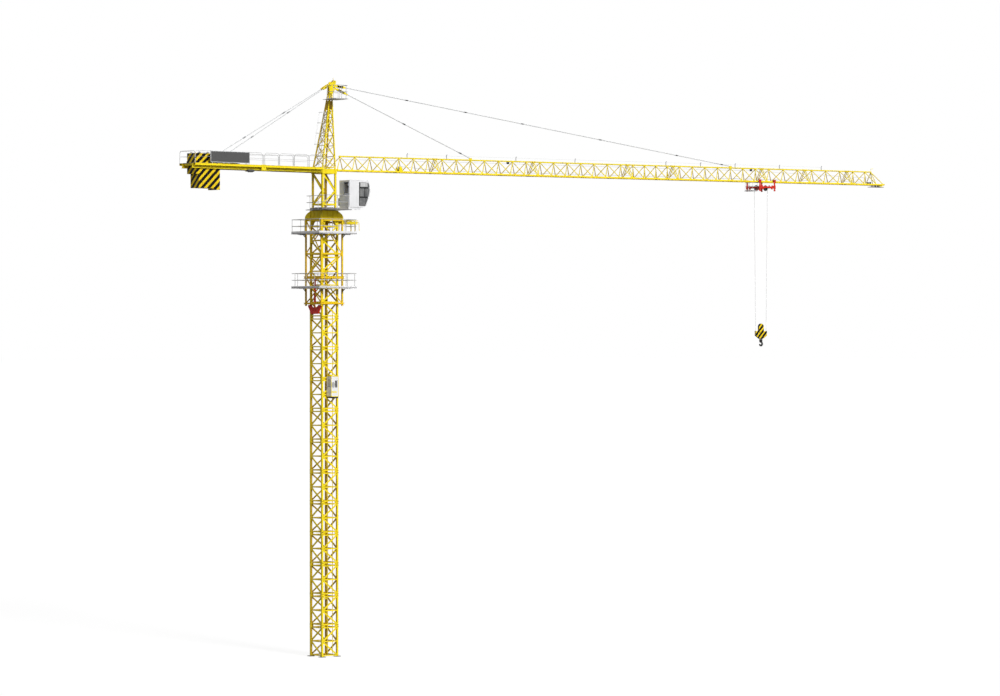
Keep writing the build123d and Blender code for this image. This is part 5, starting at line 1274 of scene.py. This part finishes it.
def makeJibSplices(settings):
    high, half = settings["height"], settings["half"]
    along = aim(Vector(onJib(1, 0, 0)) - Vector(onJib(0, 0, 0)))
    sleeves, pins, lugs = [], [], []
    for s in settings["splices"]:
        sleeves.append((onJib(s, 0, high), along))
        for side in (-1, 1):
            lugs += [(onJib(s, side * (half + out), up), size, jibTilt) for out, up, size in settings["lugs"]]
            for step in settings["pinSteps"]:
                pins.append((onJib(s + step, side * (half - settings["pinIn"]), 0), aim((0, -side, 0))))
                pins.append((onJib(s + step, side * settings["pinOut"], high), aim((0, side, 0))))
    spread("jib_top_sleeves", "upperworks", "jibYellow", sleeveTree, settings["sleeve"],
           sleeves)
    boxes("jib_chord_lugs", "upperworks", "jibYellow", lugs, soft["plate"])
    spread("jib_splice_pins", "upperworks", "rustBolt", boltTree, settings["pin"], pins)


jibLineSettings = {
    "posts": (4.27, 6.35, 10.1, 13.38, 18.59, 20.63, 22.7, 25.4, 28.0),
    "post": ((0.0, 0.018), (0.0, 0.17), (0.04, 0.2)), "postTube": 0.013, "lineUp": 0.146,
    "line": (0.0025, 0.001, 6),
    "guides": (9.66, 23.66), "guideDrop": 0.021,
    "guide": {"Radius": 0.04, "Width": 0.07, "Reach": 0.06, "Cheek": 0.012},
    "hoistY": 0.02, "hoist": ((0.1, 0.46), (9.23, 0.478), (23.23, 0.478), (30.7, 0.3)),
    "hoistRope": (0.006, 0.05, 6),
    "trolleyY": 0.07, "trolley": ((3.42, 0.236), (5.4, 0.11), (30.6, 0.11)), "trolleyRope": (0.004, 0.05, 6),
}


def makeJibLines(settings):
    heel, high = jibSettings["heel"][0], jibSettings["height"]
    posts, line, guides = [], [], []
    for x in settings["posts"]:
        posts.append([onJib(x - heel + step, 0, high + up) for step, up in settings["post"]])
        line.append(onJib(x - heel, 0, high + settings["lineUp"]))
    tubes("jib_lifeline_posts", "upperworks", "grey_paint", "turnGrey", posts, settings["postTube"])
    tubes("jib_lifeline", "upperworks", "dark_steel", "steelRope", [line], *settings["line"])
    for x in settings["guides"]:
        guides.append((onJib(x - heel, 0, high - settings["guideDrop"]), aim((0, 0, -1), "Z", "Y")))
    spread("jib_rope_guides", "upperworks", "dark_steel", rollerTree, settings["guide"],
           guides)
    ropes = [[onJib(s, settings["hoistY"], h) for s, h in settings["hoist"]]]
    tubes("jib_hoist_rope", "upperworks", "dark_steel", "steelRope", ropes, *settings["hoistRope"])
    runs = [[onJib(s, side * settings["trolleyY"], h) for s, h in settings["trolley"]] for side in (-1, 1)]
    tubes("jib_trolley_ropes", "upperworks", "dark_steel", "steelRope", runs, *settings["trolleyRope"])


jibTipSettings = {
    "sheaveAt": (30.6, 0.07, 0.075), "rod": ((30.72, 0.56), (30.72, 0.72), (30.86, 0.74)), "rodTube": 0.01,
    "sheave": {"Radius": 0.05, "Width": 0.024, "Groove": 0.009, "Hub": 0.02, "Hub Width": 0.04, "Axle": 0.01,
               "Axle Length": 0.12},
    "bumper": ((31.03, -0.105, (0.76, 0.3, 0.022)), (30.9, -0.088, (0.2, 0.34, 0.02))),
    "stays": (30.9, 31.1), "stayY": 0.12, "stayH": -0.06, "stay": (0.03, 0.03, 0.1),
    "winchAt": (3.42, 0.156), "coil": {"Radius": 0.087, "Length": 0.17, "Turns": 15.0, "Rope": 0.005},
}


def makeJibTip(settings):
    s, y, h = settings["sheaveAt"]
    wheels = [(onJib(s, side * y, h), acrossJib) for side in (-1, 1)]
    spread("jib_tip_sheaves", "upperworks", "dark_steel", sheaveTree, settings["sheave"],
           wheels)
    rod = [[onJib(s, 0, h) for s, h in settings["rod"]]]
    tubes("jib_tip_rod", "upperworks", "yellow_paint", "jibYellow", rod, settings["rodTube"])
    bars = [(onJib(s, 0, h), size, jibTilt) for s, h, size in settings["bumper"]]
    stays = [onJib(s, side * settings["stayY"], settings["stayH"]) for s in settings["stays"]
             for side in (-1, 1)]
    bars += [(spot, settings["stay"], jibTilt) for spot in stays]
    boxes("jib_tip_bumper", "upperworks", "dark_paint", bars, soft["bar"])
    s, h = settings["winchAt"]
    coil = [(onJib(s, 0, h), acrossJib)]
    spread("trolley_winch_rope", "upperworks", "steelRope", coilTree, settings["coil"], coil)


tieSettings = {
    "outer": {"pin": (0.44, 0.0, 23.188), "end": 21.982, "link": 0.364,
              "couplers": (4.244, 7.347, 10.441, 14.8, 19.209, 21.874)},
    "inner": {"pin": (0.44, 0.0, 23.112), "end": 7.201, "link": 0.4424, "couplers": (4.108, 7.074)},
    "counter": {"pin": (0.468, 0.036, 23.328), "end": (-5.7, 0.365, 19.853), "link": 0.42,
                "couplers": (-1.91, -3.785)},
    "lugUp": 0.649, "cheek": {"Length": 0.46, "Width": 0.075, "Gap": 0.032, "Plate": 0.012, "Pin": 0.02},
    "coupler": {"Length": 0.2, "Width": 0.032, "Gap": 0.036, "Plate": 0.006, "Pin": 0.009},
}


def makeTieFittings(settings):
    ties = []
    for key in ("outer", "inner"):
        tie = settings[key]
        ties.append((Vector(tie["pin"]), Vector(onJib(tie["end"], 0, settings["lugUp"])), tie))
    for side in (-1, 1):
        tie, flip = settings["counter"], Vector((1, side, 1))
        ties.append((Vector(tie["pin"]) * flip, Vector(tie["end"]) * flip, tie))
    couplers, links = [], []
    for pin, end, tie in ties:
        turn = aim(end - pin, "X", "Z")
        couplers += [(tuple(pin.lerp(end, (x - pin.x) / (end.x - pin.x))), turn) for x in tie["couplers"]]
        links.append((tuple(pin + (end - pin).normalized() * tie["link"]), turn))
    spread("tie_link_cheeks", "upperworks", "jibYellow", couplerTree, settings["cheek"],
           links)
    spread("tie_couplers", "upperworks", "zincCoat", couplerTree, settings["coupler"], couplers)


makeJibLacing(jibSettings)
makeJibSplices(jibSettings)
makeJibLines(jibLineSettings)
makeJibTip(jibTipSettings)
makeTieFittings(tieSettings)
print("jib and ties dressed")


# counter-jib
counterSettings = {
    "deck": 19.815, "line": 0.541, "rear": -6.721, "front": -0.42, "joint": -3.4075, "jointGap": 0.05,
    "height": 0.49, "topDrop": 0.009, "kneeShare": 0.52, "corner": 0.1, "panels": 4, "panelGap": 0.012,
    "rail": 0.0075, "kneeRail": 0.0055,
    "web": (0.547, 19.768, 0.012, 0.088), "lips": (19.729, 19.807), "lip": (0.555, 0.022, 0.01),
    "ribs": (0.12, 0.64, 10), "ribFace": 0.553, "rib": (0.014, 0.018, 0.07),
    "slabs": (-6.53, -5.36, 3), "eyeY": 0.28, "eyeZ": 20.21,
    "eye": {"Radius": 0.05, "Tube": 0.01, "Sweep": 3.1416, "Begin": 0.0},
    "boltX": 0.06, "boltFace": 0.55, "boltLevels": (19.65, 19.71, 19.77),
    "bolt": {"Radius": 0.012, "Height": 0.008},
    "plates": ((0.556, 19.71, (0.22, 0.02, 0.235)), (0.53, 19.6, (0.26, 0.07, 0.02))),
    "box": (-3.93, -0.36),
    "boxParts": ((19.58, (0.3, 0.16, 0.09)), (19.53, (0.2, 0.1, 0.03)), (19.63, (0.34, 0.04, 0.02))),
}


def makeCounterRails(settings):
    deck, line, gap, rear = settings["deck"], settings["line"], settings["panelGap"], settings["rear"]
    top = deck + settings["height"] - settings["topDrop"]
    knee = deck + settings["height"] * settings["kneeShare"]
    joint, jointGap = settings["joint"], settings["jointGap"]
    front, count = settings["front"], settings["panels"]
    panels, knees = [], []
    for first, last in ((rear, joint - jointGap), (joint + jointGap, front)):
        step = (last - first) / count
        for n in range(count):
            near, far = first + n * step + gap, first + (n + 1) * step - gap
            for y in (-line, line):
                panels.append([(near, y, deck), (near, y, top), (far, y, top), (far, y, deck)])
                knees.append([(near, y, knee), (far, y, knee)])
    left, right = -line + gap, line - gap
    panels.append([(rear, left, deck), (rear, left, top), (rear, right, top), (rear, right, deck)])
    knees.append([(rear, left, knee), (rear, right, knee)])
    hidden = ("counter_jib_railing",)
    rail, corner = settings["rail"], settings["corner"]
    tubes("counter_guard_rail", "upperworks", "white_paint", "railWhite", panels, rail, corner, hides=hidden)
    tubes("counter_knee_rail", "upperworks", "white_paint", "railWhite", knees, settings["kneeRail"])
    edges, length, middle = [], front - rear, (front + rear) / 2
    face, level, thin, tall = settings["web"]
    lipFace, lipWide, lipThin = settings["lip"]
    first, step, count = settings["ribs"]
    for side in (-1, 1):
        edges.append(((middle, side * face, level), (length, thin, tall)))
        edges += [((middle, side * lipFace, z), (length, lipWide, lipThin)) for z in settings["lips"]]
        ribs = [(rear + first + n * step, side * settings["ribFace"], level) for n in range(count)]
        edges += [(spot, settings["rib"]) for spot in ribs]
    boxes("counter_edge_channels", "upperworks", "jibYellow", edges, soft["thin"])


hoistSettings = {
    "drum": (-4.95, 0, 20.055), "coil": {"Radius": 0.138, "Length": 0.24, "Turns": 15.0, "Rope": 0.0085},
    "leadY": 0.02, "lead": ((-4.95, 20.2), (-0.2, 20.3)), "leadEnd": (0.1, 0.46),
    "leadRope": (0.008, 0.02, 6),
    "motor": (-4.545, 0, 19.948), "fins": {"Radius": 0.116, "Length": 0.22, "Count": 12, "Fin": 0.006},
}


def makeHoistGear(settings):
    flat, y = (math.pi / 2, 0, 0), settings["leadY"]
    coil = [(settings["drum"], flat)]
    spread("hoist_drum_rope", "upperworks", "steelRope", coilTree, settings["coil"], coil)
    s, h = settings["leadEnd"]
    lead = [[(x, y, z) for x, z in settings["lead"]] + [onJib(s, y, h)]]
    tubes("hoist_lead_rope", "upperworks", "dark_steel", "steelRope", lead, *settings["leadRope"])
    motor = [(settings["motor"], flat)]
    spread("hoist_motor_fins", "upperworks", "blue_paint", finTree, settings["fins"], motor)


boardSettings = {"x": (-6.0, -4.1), "z": (19.85, 20.305), "y": -0.562, "strip": (0.024, 0.012), "out": 0.004,
                 "bays": 4, "back": 0.016, "backStrip": (0.024, 0.014), "backGap": 0.05}


def makeBoardFrame(settings):
    (left, right), (low, high), (wide, thin) = settings["x"], settings["z"], settings["strip"]
    middle, centre, front = (left + right) / 2, (low + high) / 2, settings["y"] - settings["out"]
    edges = [((middle, front, z), (right - left, thin, wide)) for z in (high - wide / 2, low + wide / 2)]
    edges += [((x, front, centre), (wide, thin, high - low)) for x in (left + wide / 2, right - wide / 2)]
    back, size = settings["y"] + settings["back"], (*settings["backStrip"], high - low - settings["backGap"])
    for n in range(1, settings["bays"]):
        edges.append(((left + (right - left) * n / settings["bays"], back, centre), size))
    boxes("board_frame", "upperworks", "zincCoat", edges, soft["thin"])


def makeCounterFittings(settings):
    first, last, count = settings["slabs"]
    eyes, studs, joint = [], [], settings["joint"]
    for n in range(count):
        x = first + (n + 0.5) * (last - first) / count
        eyes += [((x, side * settings["eyeY"], settings["eyeZ"]), (math.pi / 2, 0, 0)) for side in (-1, 1)]
    spread("slab_lifting_eyes", "upperworks", "dark_steel", hoopTree, settings["eye"], eyes)
    for x in (joint - settings["boltX"], joint + settings["boltX"]):
        for side in (-1, 1):
            studs += [((x, side * settings["boltFace"], z), aim((0, side, 0)))
                      for z in settings["boltLevels"]]
    spread("counter_joint_bolts", "upperworks", "rustBolt", boltTree, settings["bolt"], studs)
    plates = [((joint, side * y, z), size) for y, z, size in settings["plates"] for side in (-1, 1)]
    boxes("counter_joint_plates", "upperworks", "jibYellow", plates, soft["bar"])
    parts = [((*settings["box"], z), size) for z, size in settings["boxParts"]]
    boxes("counter_junction_box", "upperworks", "dark_paint", parts, soft["cast"])


makeCounterRails(counterSettings)
makeHoistGear(hoistSettings)
makeBoardFrame(boardSettings)
makeCounterFittings(counterSettings)
print("counter-jib dressed")


# cab and its door
cabSettings = {
    "left": -1.225, "right": -0.55, "proud": 0.004, "sideGlass": (0.885, 1.2),
    "rows": ((18.27, 18.6), (18.64, 18.98), (19.02, 19.215)), "seal": (0.007, 0.02, 6),
    "bars": ((1.13, 18.81, (0.022, 0.012, 0.36)), (1.09, 18.62, (0.42, 0.012, 0.05)),
             (1.11, 19.0, (0.46, 0.012, 0.05)), (0.87, 18.745, (0.034, 0.012, 0.96))),
    "lip": (((0.83, -0.8875, 19.293), (0.93, 0.69, 0.014)), ((0.83, -0.8875, 19.305), (0.7, 0.5, 0.012))),
    "case": (((0.46, -0.505, 18.43), (0.18, 0.09, 0.3)), ((0.46, -0.462, 18.43), (0.15, 0.012, 0.26)),
             ((0.46, -0.505, 18.285), (0.2, 0.1, 0.012))),
    "visorOut": 0.001, "visors": ((1.1, 19.12, (0.36, 0.006, 0.15)), (1.1, 19.2, (0.4, 0.012, 0.02))),
}


def makeCabFittings(settings):
    bars, seal = [], []
    near, far = settings["sideGlass"]
    for out in (settings["left"] - settings["proud"], settings["right"] + settings["proud"]):
        for low, high in settings["rows"]:
            seal.append([(near, out, low), (near, out, high), (far, out, high), (far, out, low),
                         (near, out, low)])
        bars += [((x, out, z), size) for x, z, size in settings["bars"]]
    tubes("cab_window_seals", "upperworks", "dark_paint", "rubber", seal, *settings["seal"])
    boxes("cab_window_bars", "upperworks", "rubber", bars, soft["thin"])
    boxes("cab_roof_lip", "upperworks", "white_paint", settings["lip"], soft["bar"])
    boxes("cab_switch_box", "upperworks", "dark_paint", settings["case"], soft["case"])
    sides = (settings["left"] - settings["visorOut"], settings["right"] + settings["visorOut"])
    visors = [((x, y, z), size) for x, z, size in settings["visors"] for y in sides]
    boxes("cab_sun_visors", "upperworks", "visorGrey", visors, soft["thin"])


doorSettings = {
    "y": (-1.175, -0.855), "hoodGap": 0.03,
    "hood": ((0.347, 19.205, 0.03, 0.014), (0.351, 19.19, 0.012, 0.03)),
    "handleY": -0.9, "handle": ((0.352, 18.68), (0.328, 18.68), (0.328, 18.79), (0.352, 18.79)),
    "grip": (0.008, 0.015),
    "glassX": 0.35, "glassY": (-1.125, -0.905), "glassZ": (18.78, 19.165), "seal": (0.007, 0.02, 6),
    "hingeLevels": (18.4, 19.05),
    "hinge": ((0.352, -1.168, (0.02, 0.03, 0.09)), (0.35, -1.14, (0.006, 0.05, 0.05))),
}


def makeCabDoor(settings):
    left, right = settings["y"]
    wide = right - left - settings["hoodGap"]
    hood = [((x, (left + right) / 2, z), (deep, wide, tall)) for x, z, deep, tall in settings["hood"]]
    boxes("door_rain_hood", "cab_door", "rubber", hood, soft["plate"])
    handle = [[(x, settings["handleY"], z) for x, z in settings["handle"]]]
    tubes("door_handle", "cab_door", "dark_paint", "rubber", handle, *settings["grip"])
    x, (left, right), (low, high) = settings["glassX"], settings["glassY"], settings["glassZ"]
    seal = [[(x, left, low), (x, left, high), (x, right, high), (x, right, low), (x, left, low)]]
    tubes("door_window_seal", "cab_door", "dark_paint", "rubber", seal, *settings["seal"])
    hinges = [((x, y, z), size) for x, y, size in settings["hinge"] for z in settings["hingeLevels"]]
    boxes("door_hinges", "cab_door", "dark_steel", hinges, soft["plate"])


makeCabFittings(cabSettings)
makeCabDoor(doorSettings)
print("cab dressed")


# trolley, ropes and hook
trolleySettings = {
    "at": 23.83, "sideY": 0.417, "beam": (-0.25, (0.92, 0.024, 0.075)),
    "crossBeam": (0.43, -0.25, (0.036, 0.83, 0.08)),
    "ends": ((0.4435, 0.417, -0.18, (0.084, 0.016, 0.5)), (0.4435, 0.422, 0.022, (0.15, 0.026, 0.12)),
             (0.4435, 0.42, -0.25, (0.12, 0.026, 0.15)), (0.3835, 0.42, -0.23, (0.09, 0.022, 0.1)),
             (0.4435, 0.417, -0.4, (0.09, 0.03, 0.06)), (0.282, 0.417, -0.29, (0.1, 0.03, 0.11)),
             (0.12, 0.417, -0.195, (0.05, 0.034, 0.06)), (0.3, 0.417, -0.195, (0.05, 0.034, 0.06))),
    "hangerY": 0.25, "hanger": ((-0.44, -0.25), (-0.47, -0.36), (-0.5, -0.42)), "hangerTube": 0.012,
    "sheaves": 0.282, "sheaveH": -0.28, "wheels": 0.4, "wheelY": 0.389, "wheelH": 0.0223,
    "sheave": {"Radius": 0.124, "Width": 0.036, "Groove": 0.014, "Hub": 0.04, "Hub Width": 0.06,
               "Axle": 0.018, "Axle Length": 0.818},
    "wheel": {"Radius": 0.042, "Width": 0.02, "Groove": 0.002, "Hub": 0.018, "Hub Width": 0.022, "Axle": 0.01,
              "Axle Length": 0.024},
    "stub": (0.38, 0.412), "stubTube": 0.012, "nutY": 0.434, "nut": {"Radius": 0.02, "Height": 0.012},
    "basket": ((-0.455, -0.25), (-0.765, -0.25), (-0.765, 0.25), (-0.455, 0.25)), "basketH": -0.419,
    "railing": {"Height": 0.37, "Knee": 0.2, "Tube": 0.006, "Corner": 0.05, "Post Gap": 0.24, "Kick": 0.03},
}


def makeTrolleyFrame(settings):
    at, parts = settings["at"], []
    h, size = settings["beam"]
    for side in (-1, 1):
        for end in (-1, 1):
            parts += [(onJib(at + end * s, side * y, up), block, jibTilt)
                      for s, y, up, block in settings["ends"]]
        parts.append((onJib(at, side * settings["sideY"], h), size, jibTilt))
    s, h, size = settings["crossBeam"]
    parts += [(onJib(at + end * s, 0, h), size, jibTilt) for end in (-1, 1)]
    hidden = ("trolley_side_frames", "trolley_cross_beams")
    boxes("trolley_frame", "trolley", "red_paint", parts, soft["bar"], hidden)
    hangers = [[onJib(at + s, side * settings["hangerY"], h) for s, h in settings["hanger"]]
               for side in (-1, 1)]
    tubes("basket_hangers", "trolley", "red_paint", "red_paint", hangers, settings["hangerTube"])


def makeTrolleyFittings(settings):
    at, steel = settings["at"], "dark_steel"
    spots = [(onJib(at + side * settings["sheaves"], 0, settings["sheaveH"]), acrossJib) for side in (-1, 1)]
    hidden = ("trolley_sheaves",)
    spread("trolley_rope_sheaves", "trolley", steel, sheaveTree, settings["sheave"], spots, hidden)
    wheels, studs, stubs = [], [], []
    for a, b in fourCorners:
        s, h = at + a * settings["wheels"], settings["wheelH"]
        wheels.append((onJib(s, b * settings["wheelY"], h), acrossJib))
        studs.append((onJib(s, b * settings["nutY"], h), aim((0, b, 0))))
        stubs.append([onJib(s, b * y, h) for y in settings["stub"]])
    hidden = ("trolley_wheels",)
    spread("trolley_runner_wheels", "trolley", steel, sheaveTree, settings["wheel"], wheels, hidden)
    tubes("trolley_stub_axles", "trolley", steel, steel, stubs, settings["stubTube"])
    spread("trolley_axle_nuts", "trolley", steel, boltTree, settings["nut"], studs)
    run = [[onJib(at + s, y, settings["basketH"]) for s, y in settings["basket"]]]
    hidden = ("basket_railing",)
    railing("basket_guard_rail", "trolley", "zincCoat", run, settings["railing"], hidden)


ropeSettings = {"radius": 0.008, "top": 0.4, "topH": -0.3, "foot": 0.317, "middle": 24.2592, "footZ": 13.0905}


# two falls, straight between the trolley and the block
def makeRopes(settings):
    tube = {"Tube": settings["radius"], "Corner": 0.0, "Sides": 8}
    for name, side in (("hoist_rope_rear", -1), ("hoist_rope_front", 1)):
        top = onJib(trolleySettings["at"] + side * settings["top"], 0, settings["topH"])
        foot = (settings["middle"] + side * settings["foot"], 0, settings["footZ"])
        rope = grow(name, pathMesh(name, [[top, foot]]), tubeTree, tube, "steelRope")
        scene.collection.objects.link(rope)
        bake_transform(rope)
        if side < 0:
            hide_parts("hoist_ropes")


blockSettings = {
    "middle": 24.2592, "sheaveX": 0.2306, "sheaveZ": 13.0905,
    "sheave": {"Radius": 0.078, "Width": 0.03, "Groove": 0.015, "Hub": 0.028, "Hub Width": 0.04,
               "Axle": 0.016, "Axle Length": 0.044},
    "nutFace": 0.039, "nuts": ((0.09, 13.2), (0.15, 12.97)), "nut": {"Radius": 0.016, "Height": 0.012},
    "lobe": (0.15, 13.4505), "rim": ((0.34, 13.06), (0.34, 13.2685), (0.15, 13.2685)),
    "foot": (0.08, 12.9115),
    "cheeks": (-0.039, 0.023), "cheek": 0.016,
    "spacers": ((0.0, 12.9485, (0.13, 0.05, 0.074)), (0.26, 13.24, (0.1, 0.05, 0.03)),
                (-0.26, 13.24, (0.1, 0.05, 0.03)), (0.0, 13.5, (0.12, 0.05, 0.1))),
}


def makeHookBlock(settings):
    middle, steel = settings["middle"], "dark_steel"
    spots = [((middle + side * settings["sheaveX"], 0, settings["sheaveZ"]), acrossJib) for side in (-1, 1)]
    hidden = ("hook_block_sheaves",)
    spread("block_sheaves", "hook_block", steel, sheaveTree, settings["sheave"], spots, hidden)
    nuts, face = [], settings["nutFace"]
    for side in (-1, 1):
        for places in (((settings["sheaveX"], settings["sheaveZ"]),), settings["nuts"]):
            for b in (-1, 1):
                nuts += [((middle + side * x, b * face, z), aim((0, b, 0))) for x, z in places]
    spread("block_nuts", "hook_block", steel, boltTree, settings["nut"], nuts)
    radius, centre = settings["lobe"]
    turns = [math.radians(a) for a in range(0, 181, 12)]
    right = [settings["foot"], *settings["rim"]]
    left = [(-x, z) for x, z in reversed(right)]
    lobe = [(radius * math.cos(a), centre + radius * math.sin(a)) for a in turns]
    outline = left[-1:] + right + lobe + left[:-1]
    push = (0, settings["cheek"], 0)
    cheeks = [([(middle + x, y, z) for x, z in outline], push) for y in settings["cheeks"]]
    cutPlates("block_cheeks", "hook_block", "blockStripes", cheeks, soft["plate"],
              ("hook_block",))
    spacers = [((middle + x, 0, z), size) for x, z, size in settings["spacers"]]
    boxes("block_spacers", "hook_block", steel, spacers, soft["bar"])


hookSettings = {
    "middle": 24.2592, "ring": 12.6985, "radius": 0.08, "shank": ((12.8505, 0.02), (12.7905, 0.024)),
    "neck": (1.05, 0.027),
    "steps": 10, "stepTurn": 27, "thick": (0.033, 0.012), "tip": 0.012,
    "swivel": ((12.845, (0.134, 0.085, 0.12)), (12.772, (0.1, 0.07, 0.05)), (12.87, (0.15, 0.05, 0.03))),
}


def makeHook(settings):
    middle, bend, low, steps = settings["middle"], settings["radius"], settings["ring"], settings["steps"]
    swivel = [((middle, 0, z), size) for z, size in settings["swivel"]]
    boxes("hook_swivel", "hook", "dark_steel", swivel, soft["cast"])
    curve = bpy.data.curves.new("crane_hook", "CURVE")
    curve.dimensions = "3D"
    curve.bevel_depth = 1.0
    curve.bevel_resolution = 4
    curve.use_fill_caps = True
    spline = curve.splines.new("NURBS")
    up, neck = settings["neck"]
    route = [(0, z, radius) for z, radius in settings["shank"]] + [(0, low + bend * up, neck)]
    thin, swell = settings["thick"]
    for n in range(steps + 1):  # thickest at the bottom of the bend
        turn = math.radians(90 - n * settings["stepTurn"])
        radius = thin + swell * math.sin(math.pi * n / steps) if n < steps else settings["tip"]
        route.append((bend * math.cos(turn), low + bend * math.sin(turn), radius))
    spline.points.add(len(route) - 1)
    for point, (x, z, radius) in zip(spline.points, route):
        point.co = (middle + x, 0, z, 1)
        point.radius = radius
    spline.order_u = 3
    spline.use_endpoint_u = True
    draft = bpy.data.objects.new("hookDraft", curve)
    scene.collection.objects.link(draft)
    view = bpy.context.evaluated_depsgraph_get()
    mesh = bpy.data.meshes.new_from_object(draft.evaluated_get(view))
    bpy.data.objects.remove(draft)
    mesh.materials.clear()
    mesh.materials.append(finish["dark_steel"])
    settle(bpy.data.objects.new("crane_hook", mesh), "hook", ("hook",))


makeTrolleyFrame(trolleySettings)
makeTrolleyFittings(trolleySettings)
makeRopes(ropeSettings)
makeHookBlock(blockSettings)
makeHook(hookSettings)
print("trolley and hook dressed")


# studio: white floor and world, and three suns
stageSettings = {
    "floorSize": 6000.0, "floorZ": -0.004, "ambient": 0.18, "shadow": 0.25, "glow": 0.835,
    "bounce": (0.22, 0.22, 0.22),
    "lamps": {"key": (2.5, (-0.12, -0.88, 0.45), 12.0), "fill": (1.4, (-0.35, -0.93, 0.05), 60.0),
              "back": (0.9, (0.5, 0.85, 0.35), 60.0)},
}


# rays that see the background: straight from the camera, in metal or through glass
def seenRays(tree):
    ray = put(tree, "ShaderNodeLightPath").outputs
    seen = sums(tree, "MAXIMUM", ray["Is Camera Ray"], ray["Is Glossy Ray"])
    return sums(tree, "MAXIMUM", seen, ray["Is Transmission Ray"]), ray["Is Diffuse Ray"]


def makeFloor(settings):
    half, z, shade = settings["floorSize"] / 2, settings["floorZ"], settings["shadow"]
    mesh = bpy.data.meshes.new("floor")
    mesh.from_pydata([(-half, -half, z), (half, -half, z), (half, half, z), (-half, half, z)], [],
                     [(0, 1, 2, 3)])
    floor = bpy.data.objects.new("floor", mesh)
    scene.collection.objects.link(floor)
    made, tree, shader = newMaterial("floorPale")
    shader.inputs["Base Color"].default_value = (shade, shade, shade, 1)
    shader.inputs["Roughness"].default_value = 1.0
    shader.inputs["Specular IOR Level"].default_value = 0.0
    dull = put(tree, "ShaderNodeBsdfDiffuse", {"Color": (*settings["bounce"], 1)})
    seen, scattered = seenRays(tree)
    strength = times(tree, seen, settings["glow"])
    glow = put(tree, "ShaderNodeEmission", {"Color": (1, 1, 1, 1), "Strength": strength})
    # where the camera sees the floor, its shade and its glow add up to white
    white = put(tree, "ShaderNodeAddShader", {0: shader.outputs[0], 1: glow.outputs[0]})
    final = put(tree, "ShaderNodeMixShader", {0: scattered, 1: white.outputs[0], 2: dull.outputs[0]})
    wire(tree, tree.nodes["Material Output"], {"Surface": final.outputs[0]})
    mesh.materials.append(made)


def makeLight(settings):
    world = bpy.data.worlds.new("studio")
    world.use_nodes = True
    scene.world = world
    tree = world.node_tree
    seen, _ = seenRays(tree)
    level = put(tree, "ShaderNodeMapRange", {"Value": seen, "To Min": settings["ambient"], "To Max": 1.0})
    wire(tree, tree.nodes["Background"], {"Color": (1, 1, 1, 1), "Strength": level.outputs[0]})
    for name, (strength, side, angle) in settings["lamps"].items():
        light = bpy.data.lights.new(name, "SUN")
        light.energy = strength
        light.angle = math.radians(angle)
        lamp = bpy.data.objects.new(name, light)
        lamp.rotation_mode = "QUATERNION"
        lamp.rotation_quaternion = Vector(side).to_track_quat("Z", "Y")
        scene.collection.objects.link(lamp)


# level camera with a long lens, well back from the mast
cameraSettings = {"heading": 39.3, "distance": 155.35, "side": -7.14, "height": 12.51, "lens": 137.8,
                  "sensor": 36.0, "farthest": 8000.0}


def makeCamera(settings):
    turn = math.radians(settings["heading"])
    ahead = Vector((math.sin(turn), math.cos(turn), 0))
    right = Vector((math.cos(turn), -math.sin(turn), 0))
    spot = -settings["side"] * right - settings["distance"] * ahead
    data = bpy.data.cameras.new("photoCamera")
    data.lens = settings["lens"]
    data.sensor_width = settings["sensor"]
    data.clip_end = settings["farthest"]
    camera = bpy.data.objects.new("photoCamera", data)
    camera.location = (spot.x, spot.y, settings["height"])
    camera.rotation_euler = (math.radians(90), 0, -turn)
    scene.collection.objects.link(camera)
    scene.camera = camera


makeFloor(stageSettings)
makeLight(stageSettings)
makeCamera(cameraSettings)
print("camera and light set")
